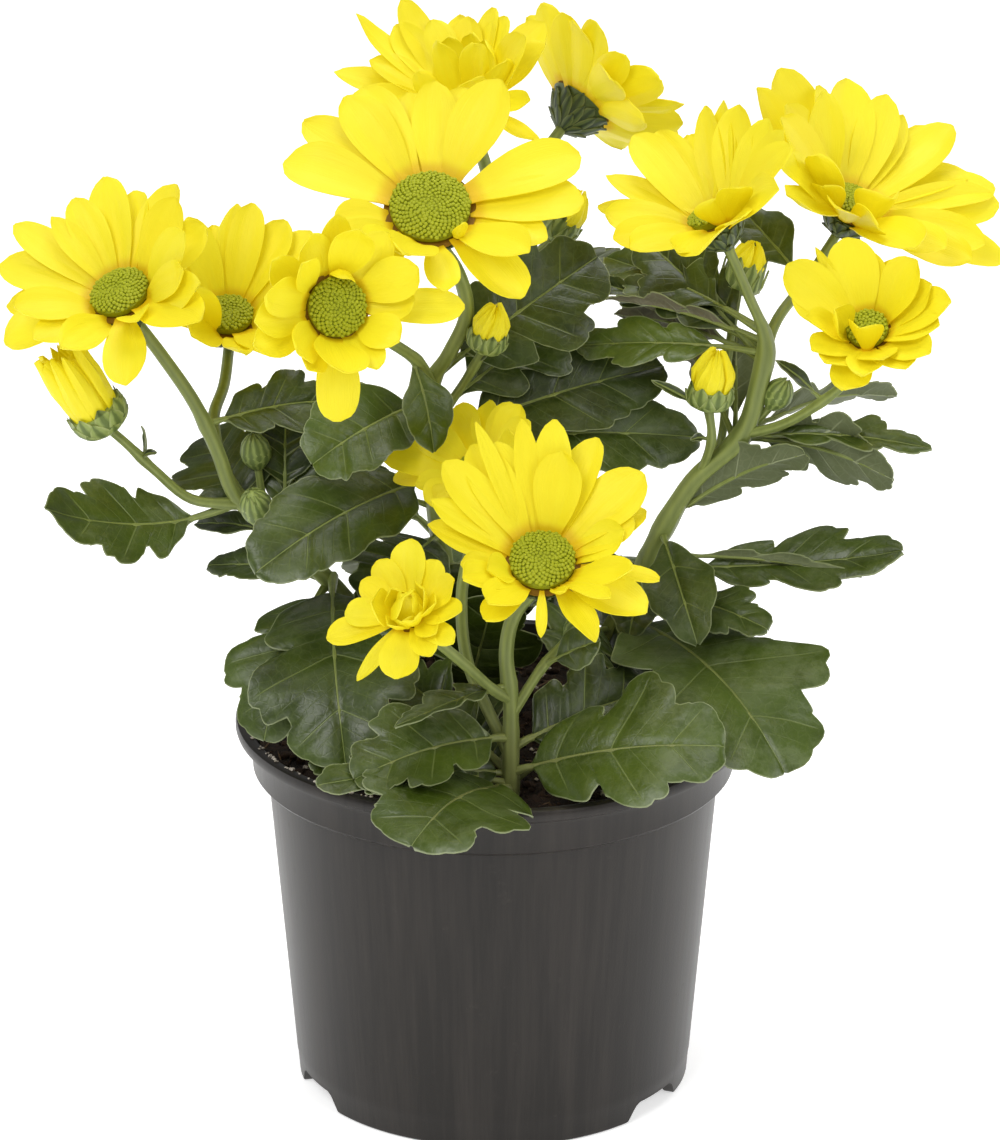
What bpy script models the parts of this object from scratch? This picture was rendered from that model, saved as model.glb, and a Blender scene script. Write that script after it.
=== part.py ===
"""Pot chrysanthemum: a spray of yellow single blooms on leafy stems in a black nursery pot.

Places and sizes are in millimetres, measured from the pot's axis at the height of its foot.
X runs to the right, Y away from the front and Z up. The whole plant is brought to metres
when its solids are made, and is then set with the middle of its outline over the origin.
A direction is given as a turn (0 faces the front, positive to the right) and a lift above
the horizontal, both in degrees.
"""

import math
import random
from typing import NamedTuple

import bmesh
import bpy
from mathutils import Vector

MM = 0.001
GAP = 0.3

# Pot
POT_HEIGHT = 90.0
RIM_RADIUS = 60.0
RIM_DEPTH = 3.0
RIM_WIDTH = 3.0
COLLAR_RADIUS = 56.4
COLLAR_FOOT = 78.0
BODY_RADIUS = 52.6
BODY_TOP = 76.4
FOOT_RADIUS = 46.0
FOOT_WIDTH = 2.8
FLOOR_UNDER = 5.0
WALL = 1.2
POT_SIDES = 30
NOTCH_AZIMUTHS = (-34.5, 85.5, 205.5)
NOTCH_HALF_WIDTH = 11.0
NOTCH_HEIGHT = 4.4
NOTCH_SLOPE = 2.5
DRAIN_COUNT = 6
DRAIN_RING = 27.0
DRAIN_RADIUS = 3.5

# Soil
SOIL_TOP = 84.0
SOIL_RINGS = (46.0, 34.0, 20.0, 9.0)
SOIL_CRUMB = 0.9
SOIL_SEED = 11
STEM_SLACK = 0.3

# Petals
PETAL_THICKNESS = 0.8
PETAL_STATIONS = ((0.0, 0.28), (0.52, 1.0), (1.0, 0.42))
PETAL_TROUGH = 0.09
PETAL_SEED = 5
AZIMUTH_JITTER = 3.0
RISE_JITTER = 4.0
LENGTH_JITTER = 0.05
STEEPEST_RISE = 68.0

# Heart of a bloom: the plate that holds the petals, and the disc on it
PLATE_THICKNESS = 2.5
PLATE_LIP = 1.4
ROOT_HEIGHT = -2.0
ROOT_STEP = 0.75
PLATE_SIDES = 9
DISC_SIDES = 10
DISC_CROWN = 0.34
DISC_RELIEF = 0.22

# Leaves
LEAF_MID_THICKNESS = 1.3
LEAF_RIM_THICKNESS = 0.6
VEIN_SLANT = 0.2
LEAF_MIDRIB = (0.25, 0.50, 0.75)
STALK_RADIUS = 1.0

# Shoots and buds; cup shapes are shares of a bud's length and of its radius
SHOOT_SIDES = 6
OPEN_BUD_CUP = ((0.12, 0.78), (0.32, 1.0), (0.48, 0.94))
CLOSED_BUD = ((0.20, 0.80), (0.50, 1.0), (0.82, 0.72), (1.0, 0.15))

# Outlines of half a leaf: share of the blade's length, share of its half width
BROAD = ((0.12, 0.50), (0.30, 0.66), (0.37, 0.46), (0.48, 0.92),
         (0.68, 0.98), (0.72, 0.58), (0.87, 0.60), (0.97, 0.28))
NARROW = ((0.07, 0.16), (0.27, 0.80), (0.42, 0.56), (0.62, 1.00), (0.74, 0.60), (0.90, 0.44))
TINY = ((0.12, 0.34), (0.45, 1.00), (0.80, 0.62))


class Ring(NamedTuple):
    """One ring of petals: where each points, and the shape that they share."""
    azimuths: tuple
    length: float
    width: float
    rise: float
    curl: float


class Bloom(NamedTuple):
    """An open flower: the middle of its disc, the way it faces, and its rings of petals.

    Where a neighbour crowds it, between two azimuths, its petals stand up more and are shorter.
    """
    name: str
    place: tuple
    turn: float
    lift: float
    disc: float
    rings: tuple
    crowded: tuple


class Bud(NamedTuple):
    """A bud from the foot of its cup to its tip; open ones show yellow petals."""
    name: str
    foot: tuple
    tip: tuple
    radius: float
    open: bool


class Leaf(NamedTuple):
    """A leaf from its joint on the stem to its tip."""
    joint: tuple
    tip: tuple
    arch: float
    turn: float
    lift: float
    half_width: float
    stalk: float
    outline: tuple
    fold: float


class Shoot(NamedTuple):
    """One tube of a stem: its route, its radius at foot and end, and the flower it holds."""
    route: tuple
    start: float
    end: float
    holds: str


class Stem(NamedTuple):
    """A leafy stem: a main shoot out of the soil, its side shoots, and its leaves."""
    name: str
    shoots: tuple
    leaves: tuple


def even(count, start):
    """Azimuths of petals spread evenly round a bloom."""
    return tuple(start + 360.0 * i / count for i in range(count))


BLOOMS = (
    Bloom("far_left", (-84, -12, 197), -35, 58, 7.2, (
        Ring(even(8, 8), 22.5, 11.5, 22, -14),
        Ring(even(7, 30), 20.5, 11.0, 40, -18)), ()),
    Bloom("left_back", (-61, 20, 181), 0, 64, 6.0, (
        Ring(even(7, 20), 23.0, 11.0, 38, -14),
        Ring(even(6, 50), 20.0, 10.0, 58, -14)), ()),
    Bloom("left_near", (-34, -47, 205), 22, 18, 7.0, (
        Ring(even(7, 12), 20.5, 12.0, 12, -16),
        Ring(even(6, 40), 16.5, 10.0, 32, -20)), ((330, 430, 8, 0.92),)),
    Bloom("large", (-14, -18, 219), 0, 51, 9.5, (
        Ring((22, 64, 118, 160, 205, 275, 325), 25.5, 15.0, 10, -12),
        Ring((0, 44, 90, 140, 182, 240, 300), 23.5, 13.5, 25, -18)), ((195, 290, 14, 0.84),)),
    Bloom("top", (-7, 36, 229), -43, 70, 7.0, (
        Ring(even(8, 5), 23.0, 12.0, 14, -10),
        Ring(even(7, 25), 20.0, 10.5, 34, -6),
        Ring(even(5, 15), 12.0, 7.5, 58, 62)), ((20, 110, 24, 0.9),)),
    Bloom("top_right", (22, 62, 220), 129, 37, 7.0, (
        Ring(even(7, 0), 22.0, 13.0, 26, -12),
        Ring(even(6, 22), 20.0, 12.0, 46, -14)), ()),
    Bloom("right_inner", (49, -8, 214), -83, 64, 6.0, (
        Ring(even(8, 10), 23.5, 12.0, 32, -12),
        Ring(even(6, 30), 20.0, 10.5, 54, -10)), ()),
    Bloom("right_outer", (83, 20, 208), 58, 62, 6.5, (
        Ring(even(8, 0), 29.0, 14.0, 28, -12),
        Ring(even(7, 24), 26.0, 13.0, 50, -14)), ((120, 150, 12, 0.9), (175, 185, 8, 0.9),
                                                 (215, 235, 16, 0.8))),
    Bloom("right_low", (84, -17, 190), -14, 52, 5.0, (
        Ring(even(7, 12), 21.0, 13.0, 40, -8),
        Ring(even(5, 36), 14.0, 9.5, 60, 10)), ()),
    Bloom("front", (11, -50, 147), 0, 53, 7.7, (
        Ring(even(10, 6), 24.0, 10.5, 31, -14),
        Ring(even(9, 24), 22.0, 9.5, 49, -16)), ((178, 225, 14, 0.8),)),
    Bloom("front_back", (-4, -20, 158), -67, 57, 6.0, (
        Ring((60, 105, 150, 195, 240, 285), 19.5, 9.5, 20, -10),
        Ring((82, 128, 174, 220, 265), 15.5, 9.0, 42, -10),
        Ring((310, 345, 20), 10.0, 7.0, 72, 0)), ()),
    Bloom("front_small", (-19, -61, 139), -21, 46, 3.5, (
        Ring(even(8, 10), 14.0, 7.5, 24, 14),
        Ring(even(6, 32), 10.5, 6.5, 52, 26)), ((350, 460, 14, 0.88),)),
)

BUDS = (
    Bud("left", (-87, -12, 164), (-99, -16, 185), 6.5, True),
    Bud("centre", (-2, -3, 180), (1, -5, 192), 4.2, True),
    Bud("right", (49, -3, 166), (51, -4, 181), 5.0, True),
    Bud("right_back", (56, 12, 189), (60, 13, 201), 4.5, True),
    Bud("back", (14, 31, 196), (21, 29, 208), 4.2, True),
    Bud("green_front", (17, -37, 123), (21, -38, 129), 2.4, False),
    Bud("green_left_low", (-53, -6, 140), (-55, -13, 149), 3.4, False),
    Bud("green_left_high", (-54, 2, 150), (-55, 1, 158), 3.2, False),
    Bud("green_right", (62, 3, 164), (65, 5, 172), 2.8, False),
)

STEMS = (
    Stem("stem_front",
         (
             Shoot(((4, -40, 66), (4, -40, 76), (4, -40, 84), (4, -41, 94), (4, -42, 110),
                    (3, -43, 122), (5, -42, 131)), 1.9, 1.5, "front"),
             Shoot(((4, -42, 110), (-1, -46, 115), (-6, -51, 122), (-12, -55, 129)),
                   1.3, 1.2, "front_small"),
             Shoot(((4, -41, 96), (-1, -39, 106), (-6, -36, 118), (-7, -31, 132), (-4, -24, 143)),
                   1.3, 1.3, "front_back"),
             Shoot(((4, -42, 106), (11, -40, 117)), 1.2, 0.9, "green_front"),
         ),
         (
             Leaf((4, -41, 92), (52, -55, 104), 5, 8, 52, 16.0, 0.10, BROAD, 0.10),
             Leaf((4, -41, 88), (-18, -79, 90), 7, -15, 62, 20.0, 0.14, BROAD, 0.06),
             Leaf((3, -42, 101), (-31, -60, 98), 4, -10, 56, 12.0, 0.10, BROAD, 0.14),
             Leaf((3, -40, 89), (-42, -38, 93), 3, -10, 60, 7.0, 0.50, NARROW, 0.10),
             Leaf((3, -43, 114), (-22, -58, 110), 3, 120, 30, 5.5, 0.16, NARROW, 0.20),
             Leaf((12, -40, 118), (24, -46, 126), 2, 10, 40, 5.0, 0.15, TINY, 0.10),
             Leaf((5, -40, 90), (33, -20, 98), 4, 20, 50, 10.0, 0.20, NARROW, 0.10),
             Leaf((3, -40, 92), (-24, -16, 108), 4, -20, 45, 10.0, 0.20, NARROW, 0.10),
         )),
    Stem("stem_left",
         (
             Shoot(((-17, 8, 66), (-17, 8, 76), (-17, 8, 84), (-22, 6, 98), (-34, 1, 118),
                    (-50, -2, 135), (-59, -4, 145), (-63, -4, 156), (-68, -5, 168),
                    (-75, -7, 180)), 2.1, 1.4, "far_left"),
             Shoot(((-63, -4, 156), (-64, 3, 162), (-62, 14, 166)), 1.4, 1.2, "left_back"),
             Shoot(((-58, -4, 143), (-69, -6, 145), (-77, -9, 153), (-83, -11, 160)),
                   1.2, 1.0, "left"),
             Shoot(((-52, -2, 136), (-53, 0, 143)), 1.0, 0.9, "green_left_high"),
             Shoot(((-52, -2, 136),), 1.0, 1.0, "green_left_low"),
         ),
         (
             Leaf((-60, -4, 143), (-102, -24, 142), -3, -12, 50, 11.5, 0.24, BROAD, 0.08),
             Leaf((-64, -4, 158), (-41, 16, 166), 3, 165, 35, 8.5, 0.20, NARROW, 0.10),
             Leaf((-53, -2, 138), (-74, 18, 150), 4, -10, 50, 9.0, 0.20, NARROW, 0.10),
             Leaf((-46, -1, 131), (-30, 12, 160), 3, -5, 30, 8.5, 0.22, NARROW, 0.10),
             Leaf((-38, 0, 122), (-67, 4, 123), 3, -5, 60, 7.0, 0.35, NARROW, 0.10),
             Leaf((-50, -2, 135), (-74, 16, 131), 3, -10, 60, 6.5, 0.30, NARROW, 0.10),
             Leaf((-37, 0, 124), (-42, -46, 92), 8, -20, 38, 18.5, 0.12, BROAD, 0.08),
             Leaf((-48, -1, 134), (-43, 17, 170), 4, 0, 40, 9.0, 0.28, NARROW, 0.10),
         )),
    Stem("stem_centre",
         (
             Shoot(((-6, 14, 66), (-6, 14, 76), (-6, 14, 84), (-9, 12, 110), (-13, 8, 135),
                    (-14, 5, 155), (-14, 2, 170), (-10, 0, 178), (-6, -1, 188), (-8, -4, 199)),
                   2.1, 1.5, "large"),
             Shoot(((-14, 2, 170), (-17, -8, 179), (-24, -19, 188), (-31, -29, 196)),
                   1.3, 1.2, "left_near"),
             Shoot(((-14, 5, 155), (-11, 3, 163), (-6, 0, 172)), 1.1, 1.0, "centre"),
         ),
         (
             Leaf((-13, 6, 146), (-55, -28, 135), 6, -10, 48, 13.5, 0.12, BROAD, 0.10),
             Leaf((-14, 4, 166), (-41, -18, 158), 6, -15, 30, 12.0, 0.20, BROAD, 0.10),
             Leaf((-14, 4, 172), (26, 18, 197), 4, 5, 28, 13.0, 0.18, BROAD, 0.10),
             Leaf((-13, 5, 162), (20, 22, 183), 4, 5, 30, 11.5, 0.18, NARROW, 0.10),
             Leaf((-13, 7, 156), (46, 12, 160), 8, 8, 36, 17.0, 0.16, BROAD, 0.10),
             Leaf((-11, 10, 128), (-38, 28, 140), 5, -150, 45, 12.0, 0.20, BROAD, 0.10),
             Leaf((-12, 10, 136), (15, 16, 158), 4, 0, 38, 12.0, 0.20, NARROW, 0.10),
             Leaf((-7, 13, 98), (-22, -18, 114), 5, -10, 45, 11.0, 0.20, NARROW, 0.10),
         )),
    Stem("stem_right",
         (
             Shoot(((21, 17, 66), (21, 17, 76), (21, 17, 84), (25, 12, 100), (33, 7, 118),
                    (38, 5, 131), (46, 3, 146), (57, 1, 158), (61, 0, 172), (62, -1, 182),
                    (59, -4, 193)), 2.1, 1.4, "right_inner"),
             Shoot(((61, 0, 176), (65, 7, 184), (72, 17, 190)), 1.5, 1.3, "right_outer"),
             Shoot(((57, 1, 158), (66, -3, 162), (74, -6, 168), (81, -8, 175)),
                   1.2, 1.1, "right_low"),
             Shoot(((47, 3, 147), (49, 0, 153), (50, -2, 159)), 1.0, 1.0, "right"),
             Shoot(((51, 3, 151), (53, 7, 158), (54, 10, 174)), 1.0, 1.0, "right_back"),
             Shoot(((60, 1, 161),), 1.0, 1.0, "green_right"),
         ),
         (
             Leaf((29, 9, 111), (66, -45, 93), 10, 25, 52, 21.0, 0.12, BROAD, 0.06),
             Leaf((39, 5, 133), (46, -26, 116), 5, -15, 42, 9.5, 0.20, NARROW, 0.10),
             Leaf((36, 6, 124), (94, -8, 133), -2, 10, 62, 9.5, 0.22, BROAD, 0.20),
             Leaf((45, 3, 142), (99, -12, 157), 3, 3, 54, 10.0, 0.24, BROAD, 0.14),
             Leaf((46, 4, 145), (93, 27, 161), 5, 5, 52, 8.5, 0.24, BROAD, 0.14),
             Leaf((62, 0, 181), (27, 8, 190), 2, 160, 50, 5.0, 0.24, NARROW, 0.20),
             Leaf((60, 1, 184), (26, 28, 192), 4, 0, 45, 9.0, 0.24, NARROW, 0.10),
             Leaf((55, 3, 156), (38, 30, 180), 4, -5, 40, 10.0, 0.24, NARROW, 0.10),
             Leaf((72, 17, 189), (57, 28, 204), 2, 10, 20, 6.5, 0.26, TINY, 0.10),
             Leaf((27, 11, 106), (14, -20, 112), 5, 15, 45, 11.0, 0.20, NARROW, 0.10),
         )),
    Stem("stem_back",
         (
             Shoot(((2, 34, 66), (2, 34, 76), (2, 34, 84), (1, 36, 110), (1, 38, 140),
                    (1, 39, 170), (1, 40, 190), (-1, 40, 207)), 2.1, 1.4, "top"),
             Shoot(((1, 40, 188), (4, 45, 198), (9, 51, 206)), 1.4, 1.3, "top_right"),
             Shoot(((1, 39, 178), (7, 35, 187)), 1.1, 1.0, "back"),
         ),
         (
             Leaf((2, 36, 98), (34, 66, 97), 10, 150, 55, 17.0, 0.16, BROAD, 0.08),
             Leaf((2, 36, 104), (-32, 64, 99), 10, -150, 55, 16.0, 0.16, BROAD, 0.08),
             Leaf((1, 38, 136), (-40, 56, 146), 5, -160, 55, 12.5, 0.18, BROAD, 0.10),
             Leaf((1, 38, 146), (40, 58, 152), 5, 160, 50, 12.5, 0.18, BROAD, 0.10),
             Leaf((1, 39, 168), (-20, 64, 186), 4, -170, 45, 9.0, 0.20, NARROW, 0.10),
             Leaf((1, 39, 176), (30, 60, 182), 4, 170, 50, 8.5, 0.20, NARROW, 0.10),
             Leaf((1, 36, 96), (9, -2, 117), 3, 0, 50, 14.0, 0.24, BROAD, 0.10),
         )),
)


def facing(turn, lift):
    """Unit direction that a turn and a lift in degrees name."""
    t, up = math.radians(turn), math.radians(lift)
    return Vector((math.sin(t) * math.cos(up), -math.cos(t) * math.cos(up), math.sin(up)))


def axes_across(direction):
    """Two unit directions across a given one: level to its right, and up along it."""
    side = Vector((0, 0, 1)).cross(direction)
    if side.length < 1e-6:
        side = Vector((1, 0, 0))
    side.normalize()
    return side, direction.cross(side)


def solid(name, points, faces):
    """An object from points in millimetres and faces of point numbers."""
    mesh = bpy.data.meshes.new(name)
    mesh.from_pydata([Vector(p) * MM for p in points], [], faces)
    mesh.validate()
    work = bmesh.new()
    work.from_mesh(mesh)
    bmesh.ops.recalc_face_normals(work, faces=work.faces)
    work.to_mesh(mesh)
    work.free()
    thing = bpy.data.objects.new(name, mesh)
    bpy.context.scene.collection.objects.link(thing)
    return thing


def finish(thing, material, smooth_angle=35.0):
    """Gives an object its material and smooth shading up to an angle."""
    thing.data.materials.clear()
    thing.data.materials.append(material)
    thing.data.shade_smooth()
    thing.data.set_sharp_from_angle(angle=math.radians(smooth_angle))
    return thing


def make_material(name, colour, roughness, metallic=0.0):
    """A Principled material in one colour."""
    material = bpy.data.materials.new(name)
    material.use_nodes = True
    shader = material.node_tree.nodes["Principled BSDF"]
    shader.inputs["Base Color"].default_value = (*colour, 1.0)
    shader.inputs["Roughness"].default_value = roughness
    shader.inputs["Metallic"].default_value = metallic
    material.diffuse_color = (*colour, 1.0)
    return material


def fuse(name, pieces):
    """One closed body from overlapping pieces, by one Boolean union on a collection."""
    base, rest = pieces[0], pieces[1:]
    base.name = name
    base.data.name = name
    group = bpy.data.collections.new(name + "_pieces")
    bpy.context.scene.collection.children.link(group)
    for piece in rest:
        bpy.context.scene.collection.objects.unlink(piece)
        group.objects.link(piece)
    union = base.modifiers.new("union", "BOOLEAN")
    union.operation = "UNION"
    union.operand_type = "COLLECTION"
    union.collection = group
    union.solver = "EXACT"
    apply_modifiers(base)
    for piece in rest:
        bpy.data.objects.remove(piece)
    bpy.data.collections.remove(group)
    return base


def cut(thing, cutters):
    """Takes each cutter away from an object, and removes the cutters."""
    for cutter in cutters:
        cutter.hide_render = True
        cutter.display_type = "WIRE"
        difference = thing.modifiers.new("cut", "BOOLEAN")
        difference.operation = "DIFFERENCE"
        difference.object = cutter
        difference.solver = "EXACT"
    apply_modifiers(thing)
    for cutter in cutters:
        bpy.data.objects.remove(cutter)
    return thing


def apply_modifiers(thing):
    """Replaces an object's mesh by what its modifiers make of it."""
    graph = bpy.context.evaluated_depsgraph_get()
    made = bpy.data.meshes.new_from_object(thing.evaluated_get(graph))
    thing.modifiers.clear()
    old = thing.data
    thing.data = made
    bpy.data.meshes.remove(old)


def turned(name, profile, sides, origin=(0, 0, 0), axis=(0, 0, 1), wave=None):
    """A closed turned solid; a profile point of zero radius is a single point."""
    axis = Vector(axis).normalized()
    right, up = axes_across(axis)
    origin = Vector(origin)
    points, rings = [], []
    for level, (radius, height) in enumerate(profile):
        if radius == 0:
            rings.append([len(points)])
            points.append(origin + axis * height)
            continue
        rings.append([])
        for i in range(sides):
            a = 2 * math.pi * i / sides
            out, lift = (radius, height) if wave is None else wave(level, i, radius, height)
            rings[-1].append(len(points))
            points.append(origin + axis * lift + (right * math.cos(a) + up * math.sin(a)) * out)
    faces = []
    for low, high in zip(rings, rings[1:]):
        faces += joined_rings(low, high)
    for ring, order in ((rings[0], 1), (rings[-1], -1)):
        if len(ring) > 1:
            faces.append(ring[::order])
    return solid(name, points, faces)


def joined_rings(low, high):
    """Triangles between two rings of points, either of which may be one point."""
    count = max(len(low), len(high))
    faces = []
    for i in range(count):
        j = (i + 1) % count
        if len(low) == 1:
            faces.append((low[0], high[i], high[j]))
        elif len(high) == 1:
            faces.append((low[i], low[j], high[0]))
        else:
            faces.append((low[i], low[j], high[j]))
            faces.append((low[i], high[j], high[i]))
    return faces


def smooth_curve(points, share):
    """Place at a share of the way along a smooth curve through the points."""
    spans = len(points) - 1
    at = min(share * spans, spans - 1e-9)
    i = int(at)
    t = at - i
    p1, p2 = Vector(points[i]), Vector(points[i + 1])
    p0 = Vector(points[i - 1]) if i > 0 else p1 * 2 - p2
    p3 = Vector(points[i + 2]) if i + 2 <= spans else p2 * 2 - p1
    return 0.5 * (p1 * 2 + (p2 - p0) * t + (p0 * 2 - p1 * 5 + p2 * 4 - p3) * t * t
                  + (p1 * 3 - p0 - p2 * 3 + p3) * t ** 3)


def tube(name, places, radii, sides):
    """A closed tube through places, its rings turned as little as they can be."""
    points, rings = [], []
    forward = (places[1] - places[0]).normalized()
    right, _ = axes_across(forward)
    for i, place in enumerate(places):
        before, after = places[max(i - 1, 0)], places[min(i + 1, len(places) - 1)]
        forward = (after - before).normalized()
        right = (right - forward * right.dot(forward)).normalized()
        up = forward.cross(right)
        rings.append([])
        for k in range(sides):
            a = 2 * math.pi * k / sides
            rings[-1].append(len(points))
            points.append(place + (right * math.cos(a) + up * math.sin(a)) * radii[i])
    faces = []
    for low, high in zip(rings, rings[1:]):
        faces += joined_rings(low, high)
    faces += [rings[0], rings[-1][::-1]]
    return solid(name, points, faces)


def cup_rings(holds, stem_radius):
    """Places and radii of the green cup, or the whole closed bud, at the end of a shoot."""
    for bloom in BLOOMS:
        if bloom.name == holds:
            axis = facing(bloom.turn, bloom.lift)
            top = -PLATE_THICKNESS - GAP
            depth = bloom.disc * 0.85 + 1.5
            profile = ((stem_radius, top - depth), (bloom.disc * 0.72, top - depth * 0.66),
                       (bloom.disc + 0.7, top))
            return [(Vector(bloom.place) + axis * height, radius) for radius, height in profile]
    bud = next(bud for bud in BUDS if bud.name == holds)
    foot, along = Vector(bud.foot), Vector(bud.tip) - Vector(bud.foot)
    shape = OPEN_BUD_CUP if bud.open else CLOSED_BUD
    return [(foot, stem_radius)] + [(foot + along * share, bud.radius * wide)
                                    for share, wide in shape]


def shoot_tube(shoot, sides):
    """A tapering shoot along a smooth curve, widening into the cup of its flower."""
    cup = cup_rings(shoot.holds, shoot.end)
    route = shoot.route + (tuple(cup[0][0]),)
    steps = max(1, len(route) - 1)
    places = [smooth_curve(route, i / steps) for i in range(steps + 1)]
    radii = [shoot.start + (shoot.end - shoot.start) * i / steps for i in range(steps + 1)]
    places += [place for place, _ in cup[1:]]
    radii += [radius for _, radius in cup[1:]]
    return tube("shoot", places, radii, sides)


def petal(bloom, ring, azimuth, length, rise, level):
    """One petal: a blade on an arc that leaves the edge of the plate, with a shallow trough."""
    axis = facing(bloom.turn, bloom.lift)
    right, up = axes_across(axis)
    a = math.radians(azimuth)
    out = right * math.cos(a) + up * math.sin(a)
    side = axis.cross(out)
    start, bend = math.radians(rise), math.radians(ring.curl)
    root, height = bloom.disc + 0.25, ROOT_HEIGHT + ROOT_STEP * level
    half = PETAL_THICKNESS / 2
    points = []
    for share, width in PETAL_STATIONS:
        run, climb = arc(length, start, bend, share)
        angle = start + bend * share
        normal = axis * math.cos(angle) - out * math.sin(angle)
        middle = Vector(bloom.place) + out * (root + run) + axis * (height + climb)
        edge = ring.width * width / 2
        lift = normal * (edge * 2 * PETAL_TROUGH)
        points += [middle - side * edge + lift, middle + side * edge + lift]
        if share < 1:
            points += [middle + normal * half, middle - normal * half]
    return solid("petal", points, petal_faces(len(PETAL_STATIONS) - 1))


def arc(length, start, bend, share):
    """Run outwards and climb of an arc that starts at one angle and bends on evenly."""
    if abs(bend) < 1e-6:
        return length * share * math.cos(start), length * share * math.sin(start)
    radius = length / bend
    end = start + bend * share
    return radius * (math.sin(end) - math.sin(start)), radius * (math.cos(start) - math.cos(end))


def petal_faces(stations):
    """Triangles of a petal: both faces are split alike, so they never cross."""
    faces = [(0, 3, 1), (0, 1, 2)]
    for i in range(stations - 1):
        l0, r0, t0, b0 = range(4 * i, 4 * i + 4)
        l1, r1, t1, b1 = range(4 * i + 4, 4 * i + 8)
        faces += [(l0, t0, l1), (t0, t1, l1), (t0, r0, r1), (t0, r1, t1)]
        faces += [(l0, l1, b0), (b0, l1, b1), (b0, r1, r0), (b0, b1, r1)]
    l0, r0, t0, b0, l1, r1 = range(4 * stations - 4, 4 * stations + 2)
    faces += [(l0, t0, l1), (t0, r1, l1), (t0, r0, r1)]
    return faces + [(l0, l1, b0), (b0, l1, r1), (b0, r1, r0)]


def petal_draws(bloom):
    """Azimuth, length and rise of each petal, ring by ring, with a little seeded variety."""
    chance = random.Random(PETAL_SEED + len(bloom.name) * 31 + int(bloom.place[0]))
    for level, ring in enumerate(bloom.rings):
        for azimuth in ring.azimuths:
            length = ring.length * (1 + chance.uniform(-LENGTH_JITTER, LENGTH_JITTER))
            rise = ring.rise + chance.uniform(-RISE_JITTER, RISE_JITTER)
            for low, high, lift, share in bloom.crowded:
                if level < 2 and (azimuth - low) % 360 <= high - low:
                    rise = min(rise + lift, STEEPEST_RISE)
                    length *= share
            azimuth += chance.uniform(-AZIMUTH_JITTER, AZIMUTH_JITTER)
            yield level, ring, azimuth, length, rise


def bloom_rays(bloom, material):
    """The petals of a bloom in their rings, rooted in one small plate."""
    plate = turned("plate", ((bloom.disc + PLATE_LIP, -PLATE_THICKNESS),
                             (bloom.disc + PLATE_LIP, 0.0)),
                   PLATE_SIDES, bloom.place, facing(bloom.turn, bloom.lift))
    petals = [petal(bloom, ring, azimuth, length, rise, level)
              for level, ring, azimuth, length, rise in petal_draws(bloom)]
    return finish(fuse("rays_" + bloom.name, [plate] + petals), material)


def bloom_disc(bloom, material):
    """The disc of florets: a low dome whose rings step up and down like florets."""
    radius, crown = bloom.disc, bloom.disc * DISC_CROWN

    def florets(level, i, out, height):
        if level < 2:
            return out, height
        sign = 1 if (i + level) % 2 else -1
        return out, height + sign * DISC_RELIEF

    profile = [(radius, GAP), (radius, GAP + 0.7)]
    for share in (0.78, 0.42):
        profile.append((radius * share, GAP + 0.7 + crown * (1 - share * share)))
    profile.append((0, GAP + 0.7 + crown))
    disc = turned("disc_" + bloom.name, profile, DISC_SIDES, bloom.place,
                  facing(bloom.turn, bloom.lift), florets)
    return finish(disc, material, 80.0)


def bud_petals(bud, material):
    """The yellow petals of an opening bud, folded over each other in a ridged cone."""
    axis = Vector(bud.tip) - Vector(bud.foot)
    length = axis.length
    low = length * OPEN_BUD_CUP[-1][0] + GAP

    def ridges(level, i, out, height):
        inward = 0.82 if i % 2 else 1.0
        return out * inward, height - (length * 0.05 if i % 2 and level == 3 else 0.0)

    profile = ((bud.radius * 0.86, low), (bud.radius * 0.98, length * 0.62),
               (bud.radius * 0.80, length * 0.80), (bud.radius * 0.46, length * 0.98),
               (0, length * 0.90))
    tips = turned("bud_" + bud.name, profile, 12, bud.foot, axis, ridges)
    return finish(tips, material)


def leaf_frame(leaf, share):
    """Place on a leaf's midrib line, with its forward, side and upper directions."""
    joint, tip = Vector(leaf.joint), Vector(leaf.tip)
    face = facing(leaf.turn, leaf.lift)
    middle = (joint + tip) / 2 + face * (2 * leaf.arch)
    place = joint * (1 - share) ** 2 + middle * (2 * share * (1 - share)) + tip * share ** 2
    forward = ((middle - joint) * (1 - share) + (tip - middle) * share).normalized()
    normal = (face - forward * face.dot(forward)).normalized()
    return place, forward, normal.cross(forward), normal


def leaf_point(leaf, along, across, side):
    """Point of the blade's middle surface at shares of its length and half width."""
    foot = max(0.0, along - VEIN_SLANT * across)
    place, forward, sideways, normal = leaf_frame(leaf, leaf.stalk + (1 - leaf.stalk) * foot)
    blade = (Vector(leaf.tip) - Vector(leaf.joint)).length * (1 - leaf.stalk)
    wave = 0.07 * math.sin(9.0 * along + 2.0 * side) * across
    reach = across * leaf.half_width
    return (place + forward * (blade * (along - foot)) + sideways * (side * reach)
            + normal * (reach * (leaf.fold + wave))), normal


def zip_strip(mid, mid_at, edge, edge_at):
    """Triangles between the midrib's points and one edge's points, whose ends they share."""
    faces = []
    m, e = 0, 0
    while m < len(mid) - 1 or e < len(edge) - 1:
        step_edge = m == len(mid) - 1 or (
            e < len(edge) - 1 and edge_at[e + 1] <= mid_at[m + 1])
        if step_edge:
            corner = edge[e + 1]
            triangle = (mid[m], edge[e], corner)
            e += 1
        else:
            corner = mid[m + 1]
            triangle = (mid[m], edge[e], corner)
            m += 1
        if len(set(triangle)) == 3:
            faces.append(triangle)
    return faces


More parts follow.
